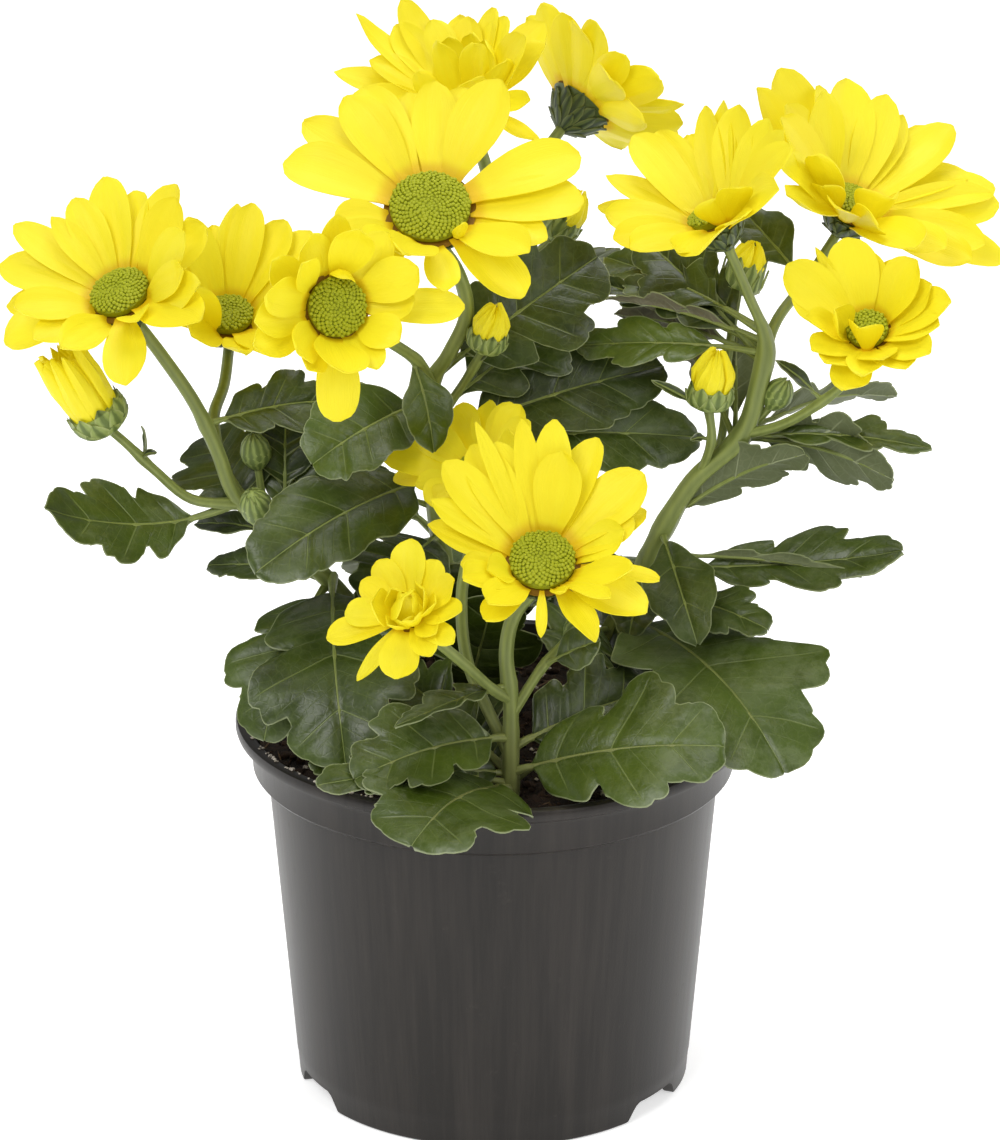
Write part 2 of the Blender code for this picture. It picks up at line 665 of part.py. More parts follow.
def leaf_body(leaf):
    """Stalk and lobed blade in one: the same triangles on both faces, with a thin rim."""
    mid_at = LEAF_MIDRIB if len(leaf.outline) > 7 else LEAF_MIDRIB[::2]
    middle = []
    for share, thick in ((0.0, 2 * STALK_RADIUS), (leaf.stalk, 2 * STALK_RADIUS * 0.8)):
        place, _, _, normal = leaf_frame(leaf, share)
        middle.append((place, normal, thick))
    middle += [leaf_point(leaf, share, 0.0, 1) + (LEAF_MID_THICKNESS,) for share in mid_at]
    middle.append(leaf_point(leaf, 1.0, 0.0, 1) + (LEAF_RIM_THICKNESS,))
    tip = len(middle) - 1
    mid_at = (-1.0, 0.0) + mid_at + (1.0,)
    edge_at = [-1.0, 0.0] + [along - VEIN_SLANT * across for along, across in leaf.outline] + [1.0]
    spots = list(middle)
    strips, edges = [], []
    for side in (1, -1):
        first = len(spots)
        for share, rim in ((0.0, STALK_RADIUS), (leaf.stalk, STALK_RADIUS * 0.8)):
            place, _, sideways, normal = leaf_frame(leaf, share)
            spots.append((place + sideways * (side * STALK_RADIUS), normal, rim))
        spots += [leaf_point(leaf, along, across, side) + (LEAF_RIM_THICKNESS,)
                  for along, across in leaf.outline]
        edge = list(range(first, len(spots))) + [tip]
        strips += [face[::side] for face in zip_strip(list(range(tip + 1)), mid_at, edge, edge_at)]
        edges.append(edge)
    points = [place + normal * (thick / 2) for place, normal, thick in spots]
    points += [place - normal * (thick / 2) for place, normal, thick in spots]
    under = len(spots)
    faces = list(strips) + [tuple(i + under for i in face[::-1]) for face in strips]
    for edge in edges:
        for a, b in zip(edge, edge[1:]):
            faces += [(a, b, b + under), (a, b + under, a + under)]
    right, left = edges[0][0], edges[1][0]
    faces.append((0, right, right + under, under, left + under, left))
    return solid("leaf", points, faces)


def stem_node(stem, material):
    """A leafy stem with its shoots, leaves, cups and closed buds, fused into one body."""
    pieces = [shoot_tube(shoot, SHOOT_SIDES) for shoot in stem.shoots]
    pieces += [leaf_body(leaf) for leaf in stem.leaves]
    return finish(fuse(stem.name, pieces), material)


def pot_outside():
    """Half outline of the pot's outer side, from the foot up to the rim."""
    return ((FOOT_RADIUS, 0.0), (BODY_RADIUS, BODY_TOP), (COLLAR_RADIUS - 0.3, COLLAR_FOOT),
            (COLLAR_RADIUS, POT_HEIGHT - RIM_DEPTH - 1.6), (RIM_RADIUS, POT_HEIGHT - RIM_DEPTH),
            (RIM_RADIUS, POT_HEIGHT - 0.6), (RIM_RADIUS - 0.6, POT_HEIGHT))


def pot_inside():
    """Half outline of the pot's inner side, from the rim down to the floor."""
    return ((RIM_RADIUS - RIM_WIDTH, POT_HEIGHT), (COLLAR_RADIUS - WALL, POT_HEIGHT - 4.0),
            (COLLAR_RADIUS - 0.3 - WALL, COLLAR_FOOT + WALL / 2),
            (BODY_RADIUS - WALL, BODY_TOP + WALL / 2), (FOOT_RADIUS - 0.8, FLOOR_UNDER + WALL))


def make_pot(material):
    """The pot: one thin shell with a raised floor, drain holes and notches in its foot."""
    under = ((0, FLOOR_UNDER), (FOOT_RADIUS - FOOT_WIDTH - 0.4, FLOOR_UNDER),
             (FOOT_RADIUS - FOOT_WIDTH, 0.0))
    profile = under + pot_outside() + pot_inside() + ((0, FLOOR_UNDER + WALL),)
    pot = turned("pot", profile, POT_SIDES)
    cutters = [notch_cutter(azimuth) for azimuth in NOTCH_AZIMUTHS]
    for i in range(DRAIN_COUNT):
        a = 2 * math.pi * (i + 0.5) / DRAIN_COUNT
        spot = (DRAIN_RING * math.cos(a), DRAIN_RING * math.sin(a), 0.0)
        cutters.append(turned("drain", ((DRAIN_RADIUS, 3.0), (DRAIN_RADIUS, 9.0)), 8, spot))
    return finish(cut(pot, cutters), material)


def notch_cutter(azimuth):
    """A block with sloping sides that cuts one notch in the foot."""
    points, faces = [], []
    for radius in (FOOT_RADIUS - 7.0, FOOT_RADIUS + 4.0):
        for height, grow in ((-1.0, NOTCH_SLOPE), (NOTCH_HEIGHT, -NOTCH_SLOPE)):
            for sign in (-1, 1):
                a = math.radians(azimuth + sign * (NOTCH_HALF_WIDTH + grow))
                points.append((radius * math.cos(a), radius * math.sin(a), height))
    faces = [(0, 1, 3, 2), (4, 6, 7, 5), (0, 2, 6, 4), (1, 5, 7, 3), (0, 4, 5, 1), (2, 3, 7, 6)]
    return solid("notch", points, faces)


def make_soil(material):
    """The plug of peat: it fills the pot, with a crumbly top and a hole for each stem."""
    inside = [(radius - GAP * 1.5, height) for radius, height in pot_inside()]
    floor = (inside[-1][0], FLOOR_UNDER + WALL + GAP)
    walls = [floor, inside[-2], inside[-3], (inside[-3][0] + 0.1, SOIL_TOP - 2.5)]
    chance = random.Random(SOIL_SEED)
    first_crumb = len(walls) + 1

    def crumbs(level, i, out, height):
        if level < first_crumb:
            return out, height
        return (out + chance.uniform(-SOIL_CRUMB, SOIL_CRUMB),
                height + chance.uniform(-SOIL_CRUMB, SOIL_CRUMB))

    top = [(radius, SOIL_TOP - 0.4 * (radius > 40)) for radius in SOIL_RINGS]
    profile = [(0, floor[1])] + walls + top + [(0, SOIL_TOP)]
    soil = turned("soil", profile, POT_SIDES, wave=crumbs)
    holes = []
    for stem in STEMS:
        route, start = stem.shoots[0].route, stem.shoots[0].start
        radius = (start + GAP) / math.cos(math.pi / 10) + STEM_SLACK
        spot = (route[0][0], route[0][1], 0.0)
        holes.append(turned("hole", ((radius, route[0][2] - GAP), (radius, SOIL_TOP + 5)), 10, spot))
    return finish(cut(soil, holes), material, 60.0)


def centre_over_origin(root, things):
    """Moves everything so that its outline's middle is over the origin, feet at zero."""
    corners = [v.co for thing in things for v in thing.data.vertices]
    low = [min(c[k] for c in corners) for k in range(3)]
    high = [max(c[k] for c in corners) for k in range(3)]
    root.location = (-(low[0] + high[0]) / 2, -(low[1] + high[1]) / 2, -low[2])


def main():
    """Builds every piece and hangs them all on one empty."""
    for thing in list(bpy.data.objects):
        bpy.data.objects.remove(thing)
    plastic = make_material("pot_plastic", (0.035, 0.033, 0.032), 0.45)
    peat = make_material("peat", (0.055, 0.035, 0.025), 0.95)
    green = make_material("leaf_green", (0.060, 0.095, 0.035), 0.55)
    yellow = make_material("petal_yellow", (1.0, 0.78, 0.03), 0.50)
    olive = make_material("disc_green", (0.30, 0.36, 0.04), 0.70)
    things = [make_pot(plastic), make_soil(peat)]
    for stem in STEMS:
        things.append(stem_node(stem, green))
    things += [bud_petals(bud, yellow) for bud in BUDS if bud.open]
    for bloom in BLOOMS:
        things += [bloom_rays(bloom, yellow), bloom_disc(bloom, olive)]
    root = bpy.data.objects.new("chrysanthemum", None)
    bpy.context.scene.collection.objects.link(root)
    for thing in things:
        thing.parent = root
    centre_over_origin(root, things)


if __name__ == "__main__":
    main()
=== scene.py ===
"""Looks of a pot chrysanthemum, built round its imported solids.

The plant is a yellow single-flowered spray chrysanthemum in a black nursery pot. Each petal,
floret, leaf, shoot, bract and bud is modelled here in fine shape and takes the place of its
plain solid. Places and sizes in the tables are in millimetres from the pot's axis at the
height of its foot: X to the right, Y away from the front, Z up. A direction is a turn (0 faces
the front, positive to the right) and a lift above the horizontal, both in degrees.
"""

import logging
import math
import random
from dataclasses import dataclass, field
from enum import Enum
from functools import cache
from typing import Callable, Iterator, NamedTuple, Optional, Sequence, Union

import bpy
import numpy as np
from mathutils import Matrix, Vector, noise

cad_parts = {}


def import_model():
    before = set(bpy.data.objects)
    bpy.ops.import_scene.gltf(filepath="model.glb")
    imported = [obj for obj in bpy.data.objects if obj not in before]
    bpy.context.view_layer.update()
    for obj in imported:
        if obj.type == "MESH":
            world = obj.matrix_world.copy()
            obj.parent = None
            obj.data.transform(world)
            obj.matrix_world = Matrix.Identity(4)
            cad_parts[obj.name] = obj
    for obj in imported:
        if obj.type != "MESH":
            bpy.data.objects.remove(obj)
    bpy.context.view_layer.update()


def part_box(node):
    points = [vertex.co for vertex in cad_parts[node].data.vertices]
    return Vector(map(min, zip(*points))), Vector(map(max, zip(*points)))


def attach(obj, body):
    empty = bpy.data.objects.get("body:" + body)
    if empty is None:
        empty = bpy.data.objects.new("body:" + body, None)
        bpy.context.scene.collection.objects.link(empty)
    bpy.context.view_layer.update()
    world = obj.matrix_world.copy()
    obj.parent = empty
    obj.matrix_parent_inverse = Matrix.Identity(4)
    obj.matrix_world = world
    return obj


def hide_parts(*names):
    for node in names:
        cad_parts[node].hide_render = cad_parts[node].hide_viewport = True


LOG = logging.getLogger("pot_chrysanthemum")

MM = 0.001
BODY = "root"

Thing = bpy.types.Object
Material = bpy.types.Material
Colour = tuple[float, float, float]
Array = np.ndarray
Point = Sequence[float]
Points = Sequence[Point]


class Slot(Enum):
    """The record's material slots."""

    POT = "pot"
    PEAT = "peat"
    LEAF = "leaf"
    PETAL = "petal"
    DISC = "disc"


class Kind(Enum):
    """Outlines of leaf."""

    BROAD = "broad"
    SMOOTH = "smooth"
    NARROW = "narrow"
    TINY = "tiny"


# Plan of the plant


class Petal(NamedTuple):
    """One petal of a bloom.

    Its azimuth runs round the disc from the level direction on a viewer's right, its rise is
    the angle above the disc's plane at its root, and its level counts layers of roots. Point
    says how pointed it is, 0 to 1, roll how many degrees it is turned about its own line, curl
    how many degrees it bends up on its way to the tip, and trough how hollow it is across.
    """

    azimuth: float
    length: float
    width: float
    rise: float
    level: float = 0.0
    point: float = 0.4
    roll: float = 6.0
    curl: float = -12.0
    trough: float = 0.12


class Bloom(NamedTuple):
    """An open flower: the middle and radius of its disc, the way it faces, and its petals."""

    name: str
    place: Point
    turn: float
    lift: float
    disc: float
    petals: tuple[tuple[float, ...], ...]

    @property
    def spindle(self) -> "Spindle":
        """Its middle and the way it faces."""
        return Spindle(self.place, facing(self.turn, self.lift))

    def cup_on(self, stem: float) -> "Cup":
        """Green cup under it.

        Args:
            stem: The shoot's radius.

        Returns:
            The cup.
        """
        top, disc = -2.8, self.disc
        depth = disc * 0.75 + 1.3
        knots = ((stem, top - depth - 0.6), (stem + 0.5, top - depth),
                 (disc * 0.56, top - depth * 0.74), (disc * 0.8, top - depth * 0.45),
                 (disc * 0.94, top - depth * 0.1), (disc + 1.0, top + 0.5))
        return Cup(self.spindle, knots, CUP_RINGS, knots[0][1] + 0.8)


class Bud(NamedTuple):
    """A bud from the foot of its cup to its tip; open ones show yellow petals.

    The spread is the radius at the petals' tips as a share of the bud's own, and the cup the
    share of an open bud that its scales hide.
    """

    name: str
    foot: Point
    tip: Point
    radius: float
    open: bool
    spread: float = 0.16
    cup: float = 0.27

    @property
    def length(self) -> float:
        """From foot to tip."""
        return float(np.linalg.norm(np.subtract(self.tip, self.foot)))

    @property
    def spindle(self) -> "Spindle":
        """Its foot and the way it grows."""
        return Spindle(self.foot, unit(np.subtract(self.tip, self.foot)))

    def cup_on(self, stem: float) -> "Cup":
        """Its cup, or its whole skin while it is closed.

        Args:
            stem: The shoot's radius.

        Returns:
            The cup.
        """
        if self.open:
            shape = (0.03, 0.56), (0.08, 0.84), (0.14, 0.96), (0.2, 1.0), (self.cup, 0.99)
        else:
            shape = ((0.1, 0.62), (0.3, 0.94), (0.52, 1.0), (0.76, 0.8), (0.93, 0.42),
                     (1.0, 0.1))
        knots = ((stem, -0.3),) + tuple((self.radius * w, self.length * s) for s, w in shape)
        return Cup(self.spindle, knots, OPEN_RINGS if self.open else CLOSED_RINGS, 0.4)


class Leaf(NamedTuple):
    """A leaf from its joint on the stem to its tip. Its shade runs from dark 0 to light green 1:
    partly the leaf's own tone, partly painted shade on leaves deep in the plant and painted sheen
    on some lit ones.
    """

    joint: Point
    tip: Point
    arch: float
    turn: float
    lift: float
    half_width: float
    stalk: float
    kind: Kind
    shade: float = 0.4
    fold: float = 0.1


class Shoot(NamedTuple):
    """One shoot of a stem: its route, its radius at foot and end, and the flower it holds.

    Hold is the share of its way for which it keeps its first radius; 0 is an even taper.
    """

    route: Points
    start: float
    end: float
    holds: str
    hold: float = 0.0

    @property
    def cup(self) -> "Cup":
        """The cup of the bloom or bud at its end."""
        return next(b for b in BLOOMS + BUDS if b.name == self.holds).cup_on(self.end)


class Stem(NamedTuple):
    """A leafy stem: its shoots, and a row for each leaf."""

    name: str
    shoots: tuple[Shoot, ...]
    rows: tuple[tuple, ...]

    @property
    def leaves(self) -> list[Leaf]:
        """Its leaves."""
        return [Leaf(*numbers) for numbers in self.rows]


BROAD, SMOOTH, NARROW, TINY = Kind

BLOOMS = (
    Bloom("far_left", (-84, -12, 197), -35, 58, 7.2, (
        (57, 18, 9.5, 28, -0.5, 0.4, -32), (102, 17.7, 9.7, 16, -0.5), (205, 20, 9, 14, -0.5),
        (276, 19.5, 9.3, 39, -0.5, 0.4, 36), (1, 21.6, 9, 33, 0, 0.4, -32),
        (30, 20.3, 9.7, 55, 0, 0.4, -32), (84, 21.8, 12, 31, 0, 0.3), (112, 20.5, 11, 26),
        (169, 24.9, 8.5, 32, 0, 0.3), (186, 23.9, 10.7, 24), (224, 21.3, 11.7, 9),
        (250, 17, 9, 30), (307, 21.4, 10.4, 8, 0, 0.2), (325, 13, 8, 44),
        (8, 18, 8.5, 44, 1, 0.4, -32), (70, 19, 9, 44, 1, 0.4, -32), (123, 23.6, 11.1, 34, 1, 0.6),
        (140, 20, 9, 42, 1), (156, 19.1, 6.3, 41, 1, 0.9), (227, 18.1, 10, 39, 1),
        (346, 23.5, 12.9, 23, 1, 0.2))),
    Bloom("left_back", (-61, 20, 181), 0, 64, 6, (
        (99, 19.1, 7.9, 33, -0.6), (22, 20, 8.5, 38), (46, 22.7, 10, 35),
        (88, 22.7, 8.4, 47, 0, 0.9), (157, 19, 8.5, 40), (203, 19, 8.5, 44),
        (227, 22.7, 11.3, 72, 0, 0.4, -32), (279, 20.2, 7.3, 38),
        (334, 20.4, 10.1, 53, 0, 0.4, -32), (0, 20, 8.5, 42, 1, 0.4, -32), (58, 21, 10.2, 39, 1),
        (76, 22.6, 8.7, 48, 1, 0.2), (115, 20.4, 8, 46, 1), (134, 21.3, 8, 35, 1),
        (180, 19, 8.5, 42, 1), (247, 21.3, 9.4, 47, 1, 0.4, 36), (302, 20.9, 11.5, 33, 1, 0.3))),
    Bloom("left_near", (-34, -47, 205), 22, 18, 7, (
        (146, 15.7, 8.3, 39, -0.6), (112, 15, 8.2, 47, -0.5), (354, 22.3, 7.9, 17, -0.5, 0.3),
        (53, 13.5, 8.8, 36, 0, 0.3), (91, 16.1, 7.3, 40), (180, 17.4, 9.6, 38, 0, 0.3),
        (196, 17.2, 9.4, 33, 0, 0.3), (229, 15.1, 8.3, 52, 0, 0.3), (263, 18, 11, 12, 0, 0.1),
        (290, 13, 8.5, 60), (358, 11.4, 8.8, 40, 0, 0.3), (21, 14.4, 10.1, 48, 1, 0.2),
        (78, 15.8, 9.6, 56, 1, 0.2), (137, 16.7, 7.8, 64, 1, 0.5), (163, 17.5, 9.1, 46, 1, 0.3),
        (212, 16.2, 9.1, 57, 1, 0.3), (253, 15.4, 13, 67, 1, 0.1), (320, 10.9, 9.6, 61, 1, 0.5),
        (80, 7.5, 6, 62, 1.5, 0.2, 6, 75, 0.3))),
    Bloom("large", (-14, -18, 219), 0, 51, 9.5, (
        (238, 21, 11.6, 55, -0.6), (343, 18, 10.5, 14, -0.6), (74, 22.5, 10, 16, -0.4, 0.3),
        (4, 24.8, 13, 10, 0, 0.1), (101, 21.9, 9, 10, 0, 0.3), (141, 26.9, 10.5, 13, 0, 0.6),
        (193, 12.7, 10.2, 19, 0, 0.3), (214, 17, 10, 28), (278, 19.4, 8.1, 30),
        (312, 21.8, 12, 8, 0, 0.1), (125, 24, 10.5, 22, 0.5, 0.3), (22, 26.7, 13, 8, 1, 0.3),
        (61, 24.4, 12.5, 31, 1, 0.5), (87, 21.4, 10.4, 19, 1, 0.3), (117, 25.1, 11.3, 14, 1, 0.2),
        (160, 25.3, 13, 11, 1, 0.1), (233, 19, 10, 22, 1, 0.3), (257, 23, 11.5, 57, 1, 0.3),
        (319, 21.7, 11.3, 36, 1), (308, 8, 4, 46, 1.5, 0.4, 6, 60, 0.3))),
    Bloom("top", (-7, 36, 229), -43, 70, 7, (
        (351, 20.1, 4.8, -2, -0.5, 0.5), (68, 19.4, 8.5, 36, -0.3, 0.4, -32),
        (28, 19.3, 10.6, 60, 0, 0.4, -32), (48, 17, 8, 40, 0, 0.4, -32),
        (102, 18, 7.1, 53, 0, 0.5), (130, 17.1, 7.2, 47, 0, 0.2), (153, 20.7, 4.6, 46, 0, 0.8),
        (161, 23.8, 7.6, 51), (186, 27.2, 6.1, 46, 0, 1), (204, 24.7, 8.1, 28, 0, 0.5),
        (225, 20, 9, 28, 0, 0.4, 36), (280, 19, 9, 34, 0, 0.4, 36), (312, 18, 9, 42),
        (357, 19.3, 5.3, 27, 0, 0.3, -32), (200, 18, 9, 44, 0.5),
        (15, 8, 5, 50, 1, 0.2, 6, 70, 0.3), (88, 16, 8, 52, 1), (118, 15, 8, 60, 1),
        (145, 16, 8, 62, 1), (170, 19, 8.9, 47, 1, 0.3), (250, 20, 9, 28, 1, 0.4, 36),
        (308, 24.2, 6.3, 86, 1, 0.6), (330, 17, 8, 62, 1), (345, 22.2, 7.6, 79, 1),
        (8, 13.7, 7.3, 51, 2, 0.4, 36, 10, 0.2), (60, 12, 7, 66, 2, 0.3, -32, 30, 0.25),
        (100, 12, 7, 70, 2, 0.3, 6, 30, 0.25), (140, 12, 7, 72, 2, 0.3, 6, 30, 0.25),
        (277, 14.9, 6.2, 62, 2, 0.4, -32, 20, 0.2), (301, 17.1, 7.5, 86, 2, 0.4, 6, 10, 0.2),
        (333, 15.1, 6.5, 78, 2, 0.4, 6, 10, 0.2))),
    Bloom("top_right", (22, 62, 220), 129, 37, 7, (
        (11, 20.9, 9.7, 47, 0, 0.4, 36), (38, 19, 9, 38, 0, 0.4, -32),
        (100, 20.1, 8.3, 27, 0, 0.5, -32), (110, 20.2, 8.7, 28, 0, 0.6),
        (118, 21.1, 9.7, 33, 0, 0.2), (141, 19.4, 7.9, 26, 0, 0.3), (160, 21.5, 10.3, 30, 0, 0.1),
        (170, 19.3, 7.8, 1, 0, 0.5, 36), (212, 18, 9, 38, 0, 0.4, 36),
        (266, 18, 9, 34, 0, 0.4, 36), (291, 20.8, 10.5, 25, 0, 0.4, 36), (315, 19, 9, 36),
        (68, 19, 9, 36, 1, 0.4, -32), (145, 19.7, 10.2, 6, 1, 0.2), (184, 20.5, 5.1, 30, 1, 1),
        (240, 18, 9, 38, 1, 0.4, 36), (342, 19, 9, 38, 1, 0.4, 36))),
    Bloom("right_inner", (49, -8, 214), -83, 64, 6, (
        (229, 25, 7.3, 28, -0.5, 0.9), (141, 24.8, 7.4, 58, -0.3, 0.8), (12, 20, 8.5, 24),
        (37, 22, 10.4, 29, 0, 0.4, -32), (85, 21, 9, 42, 0, 0.4, -32),
        (106, 21, 8.5, 48, 0, 0.4, -32), (152, 23.9, 8.1, 59, 0, 0.5),
        (184, 24.3, 8.6, 55, 0, 0.2), (199, 26.3, 9.7, 54, 0, 0.2), (220, 24.8, 7.3, 41, 0, 0.9),
        (276, 18, 9, 32, 0, 0.4, 36), (335, 22.2, 7.1, 22, 0, 0.2, 36),
        (348, 22.4, 12, 19, 0, 0.2), (25, 18, 8, 44, 1, 0.4, 36),
        (64, 21.2, 11.7, 36, 1, 0.4, -32), (127, 22.2, 9.4, 55, 1, 0.3, -32), (140, 20, 9, 50, 1),
        (172, 21, 9, 44, 1), (200, 19.1, 7.6, 41, 1), (209, 20, 7.7, 23, 1, 0.5),
        (250, 19, 9, 34, 1, 0.4, 36), (304, 19, 9, 30, 1, 0.4, 36),
        (11, 8.5, 10.2, 54, 1.5, 0.1, 6, 10, 0.3))),
    Bloom("right_outer", (83, 20, 208), 58, 62, 6.5, (
        (74, 23, 9, 50, -0.5), (104, 25.5, 8.9, 65, -0.5, 0.3, 36), (4, 27, 9, 29, -0.3),
        (109, 29.9, 9.3, 35, -0.3, 0.3, 36), (18, 23.4, 7.9, 45, 0, 0.7),
        (95, 30.4, 12.4, 41, 0, 0.3, 36), (152, 25, 9, 40, 0, 0.4, 36), (192, 22, 9, 40),
        (233, 26.8, 13, 35, 0, 0.3, -32), (278, 24, 10, 18, 0, 0.4, -32),
        (301, 31.1, 9.8, 10, 0, 0.3, -32), (328, 30.2, 13, 29, 0, 0.3), (340, 26, 10, 30, 0.5),
        (172, 27.1, 9.3, 24, 0.8, 0.1), (30, 24, 10, 52, 1), (55, 25.7, 13, 49, 1, 0.2),
        (84, 24, 10, 56, 1, 0.3), (120, 26, 10, 50, 1, 0.3, 36), (135, 26.3, 11.2, 45, 1, 0.4, 36),
        (160, 22, 9, 52, 1, 0.4, -32), (212, 22, 9, 40, 1, 0.4, 36),
        (256, 22, 10, 30, 1, 0.4, -32), (290, 25, 10, 22, 1, 0.4, -32),
        (319, 29.5, 11.3, 23, 1, 0.3, -32), (355, 28.2, 13, 37, 1, 0.5),
        (168, 13.8, 7.7, 40, 1.5, 0.4, -32, 0, 0.2), (248, 9.9, 11.8, 71, 1.5, 0.1, 6, 10, 0.3))),
    Bloom("right_low", (84, -17, 190), -14, 52, 5, (
        (29, 15, 9, 46, -0.5), (69, 14, 9, 47, -0.5), (134, 18.7, 3.1, 48, -0.5, 0.9),
        (264, 15.5, 9.3, 29, -0.5, 0.2), (10, 17.5, 11.1, 42, 0, 0.1), (89, 14.1, 7.5, 48),
        (154, 19.8, 10.4, 45, 0, 0.2), (170, 14.9, 8.2, 39, 0, 0.3), (232, 14, 9, 48),
        (295, 13, 9, 50), (329, 16.6, 9.1, 38, 0, 0.2), (50, 15.5, 11.2, 50, 1, 0.3),
        (110, 17.4, 11.2, 47, 1, 0.2), (204, 13.4, 7.7, 57, 1, 0.3, 6, 0, 0.25),
        (350, 15, 9, 40, 1), (196, 10.9, 7.7, 80, 1.5, 0.2, 36, 5, 0.3),
        (275, 8.5, 8, 90, 1.5, 0.2, 6, 5, 0.3), (250, 14, 9, 42, 0.5), (280, 14.5, 9, 40, 0.5),
        (310, 15, 9.5, 38, -0.3))),
    Bloom("front", (11, -50, 147), 0, 53, 7.7, (
        (188, 12, 6, 36, -0.5), (350, 18.6, 5.6, 11, -0.3, 0.5), (12, 13, 9.3, 39, 0, 0.3),
        (28, 18.5, 10.2, 20, 0, 0.3), (67, 24.1, 8.9, 31, 0, 0.3), (82, 25.9, 9.4, 47, 0, 0.5),
        (100, 26.1, 5.8, 45, 0, 0.6), (112, 22.4, 8, 41, 0, 0.3), (121, 28.3, 4.5, 44, 0, 0.9),
        (139, 24.6, 9.8, 37, 0, 0.3), (168, 19.4, 7.4, 26, 0, 0.6), (213, 18.8, 9, 49, 0, 0.2),
        (236, 17, 7, 31, 0, 0.1), (299, 17.1, 6.8, 16, 0, 0.8), (328, 19.7, 11.9, 15, 0, 0.1),
        (20, 15, 9, 30, 1), (39, 22.6, 12.4, 29, 1, 0.3), (76, 18.7, 11.1, 49, 1, 0.3),
        (124, 23.5, 10.4, 35, 1, 0.2), (157, 21.2, 6.8, 31, 1), (236, 19.9, 9.4, 48, 1, 0.2),
        (269, 11.6, 2.6, 14, 1, 0.3, 6, -30, 0.1), (333, 18.9, 8.5, 45, 1, 0.3),
        (206, 8.9, 7.7, 50, 1.5, 0.2, 6, 0, 0.25), (290, 10, 4, 44, 1.5, 0.3, 6, 20, 0.25),
        (309, 19.6, 5.1, 47, 1.5, 0.5))),
    Bloom("front_back", (-4, -20, 158), -67, 57, 6, (
        (176, 18, 3.7, 28, -0.5, 0.5), (214, 17.9, 9.1, 13, -0.3), (10, 11, 8.5, 44),
        (66, 12, 8, 38, 0, 0.4, -32), (116, 12.5, 7.5, 30, 0, 0.4, -32),
        (137, 14, 7.7, 28, 0, 0.6), (160, 15.9, 10.1, 26, 0, 0.1), (210, 19.9, 10.1, 32, 0, 0.3),
        (266, 8, 8, 26, 0, 0.4, 36), (318, 9, 8, 40), (186, 16, 8.5, 30, 0.5),
        (38, 12, 8, 42, 1, 0.4, -32), (94, 12, 8, 34, 1, 0.4, -32), (202, 15.3, 8.4, 17, 1, 0.3),
        (240, 9, 7, 26, 1), (292, 8, 8, 30, 1, 0.4, 36), (344, 10, 8.5, 44, 1))),
    Bloom("front_small", (-19, -61, 139), -21, 46, 3.5, (
        (245, 14.9, 3.8, -1, -0.3, 0.3), (2, 11.5, 7.7, 34, 0, 0.1), (35, 11, 7.7, 38, 0, 0.1),
        (68, 10.4, 6.9, 34, 0, 0.2), (99, 13.6, 8.4, 30, 0, 0.1), (130, 10.8, 7.2, 33, 0, 0.1),
        (159, 9.7, 6.2, 31, 0, 0.2), (192, 10.7, 7, 24, 0, 0.1), (210, 15.4, 6.8, 12),
        (275, 12.3, 8.8, 7, 0, 0), (310, 11.4, 5.7, 26, 0, 0.1), (332, 11.8, 5.6, 25, 0, 0.1),
        (33, 8, 7.2, 64, 1, 0.1, 6, 20, 0.3), (136, 7.2, 5.7, 81, 1, 0.1, 6, 20, 0.3),
        (200, 8.9, 8.8, 62, 1, 0.1, 6, 20, 0.3), (255, 6, 5.5, 60, 1, 0.1, 6, 20, 0.35),
        (331, 7.8, 6.2, 21, 1, 0.1, 6, 20, 0.3), (3, 7.4, 6.2, 44, 1.5, 0.1, 6, 20, 0.3),
        (285, 5.5, 5, 66, 1.5, 0.1, 6, 20, 0.35), (314, 5.9, 5.7, 56, 2, 0.1, 6, 20, 0.3),
        (170, 10, 8.5, 112, 1.4, 0.1, 6, 20, 0.3), (250, 9, 7.5, 118, 1.2, 0.1, 6, 14, 0.3),
        (20, 7, 6, 84, 2, 0.1, 6, 26, 0.3))),
)

BUDS = (
    Bud("left", (-87, -12, 164), (-99, -16, 185), 6.5, True, 0.86),
    Bud("centre", (-2, -3, 180), (1, -5, 192), 4.2, True, 0.16, 0.36),
    Bud("right", (49, -3, 166), (51, -4, 181), 5, True, 0.16, 0.34),
    Bud("right_back", (56, 12, 189), (60, 13, 201), 4.5, True, 0.16, 0.55),
    Bud("back", (14, 31, 196), (21, 29, 208), 4.2, True, 0.16, 0.42),
    Bud("green_front", (17, -37, 123), (21, -38, 129), 2.4, False),
    Bud("green_left_low", (-53, -6, 140), (-55, -13, 149), 3.4, False),
    Bud("green_left_high", (-54, 2, 150), (-55, 1, 158), 3.2, False),
    Bud("green_right", (63.5, 1, 165), (67, 0, 171.5), 3, False),
)
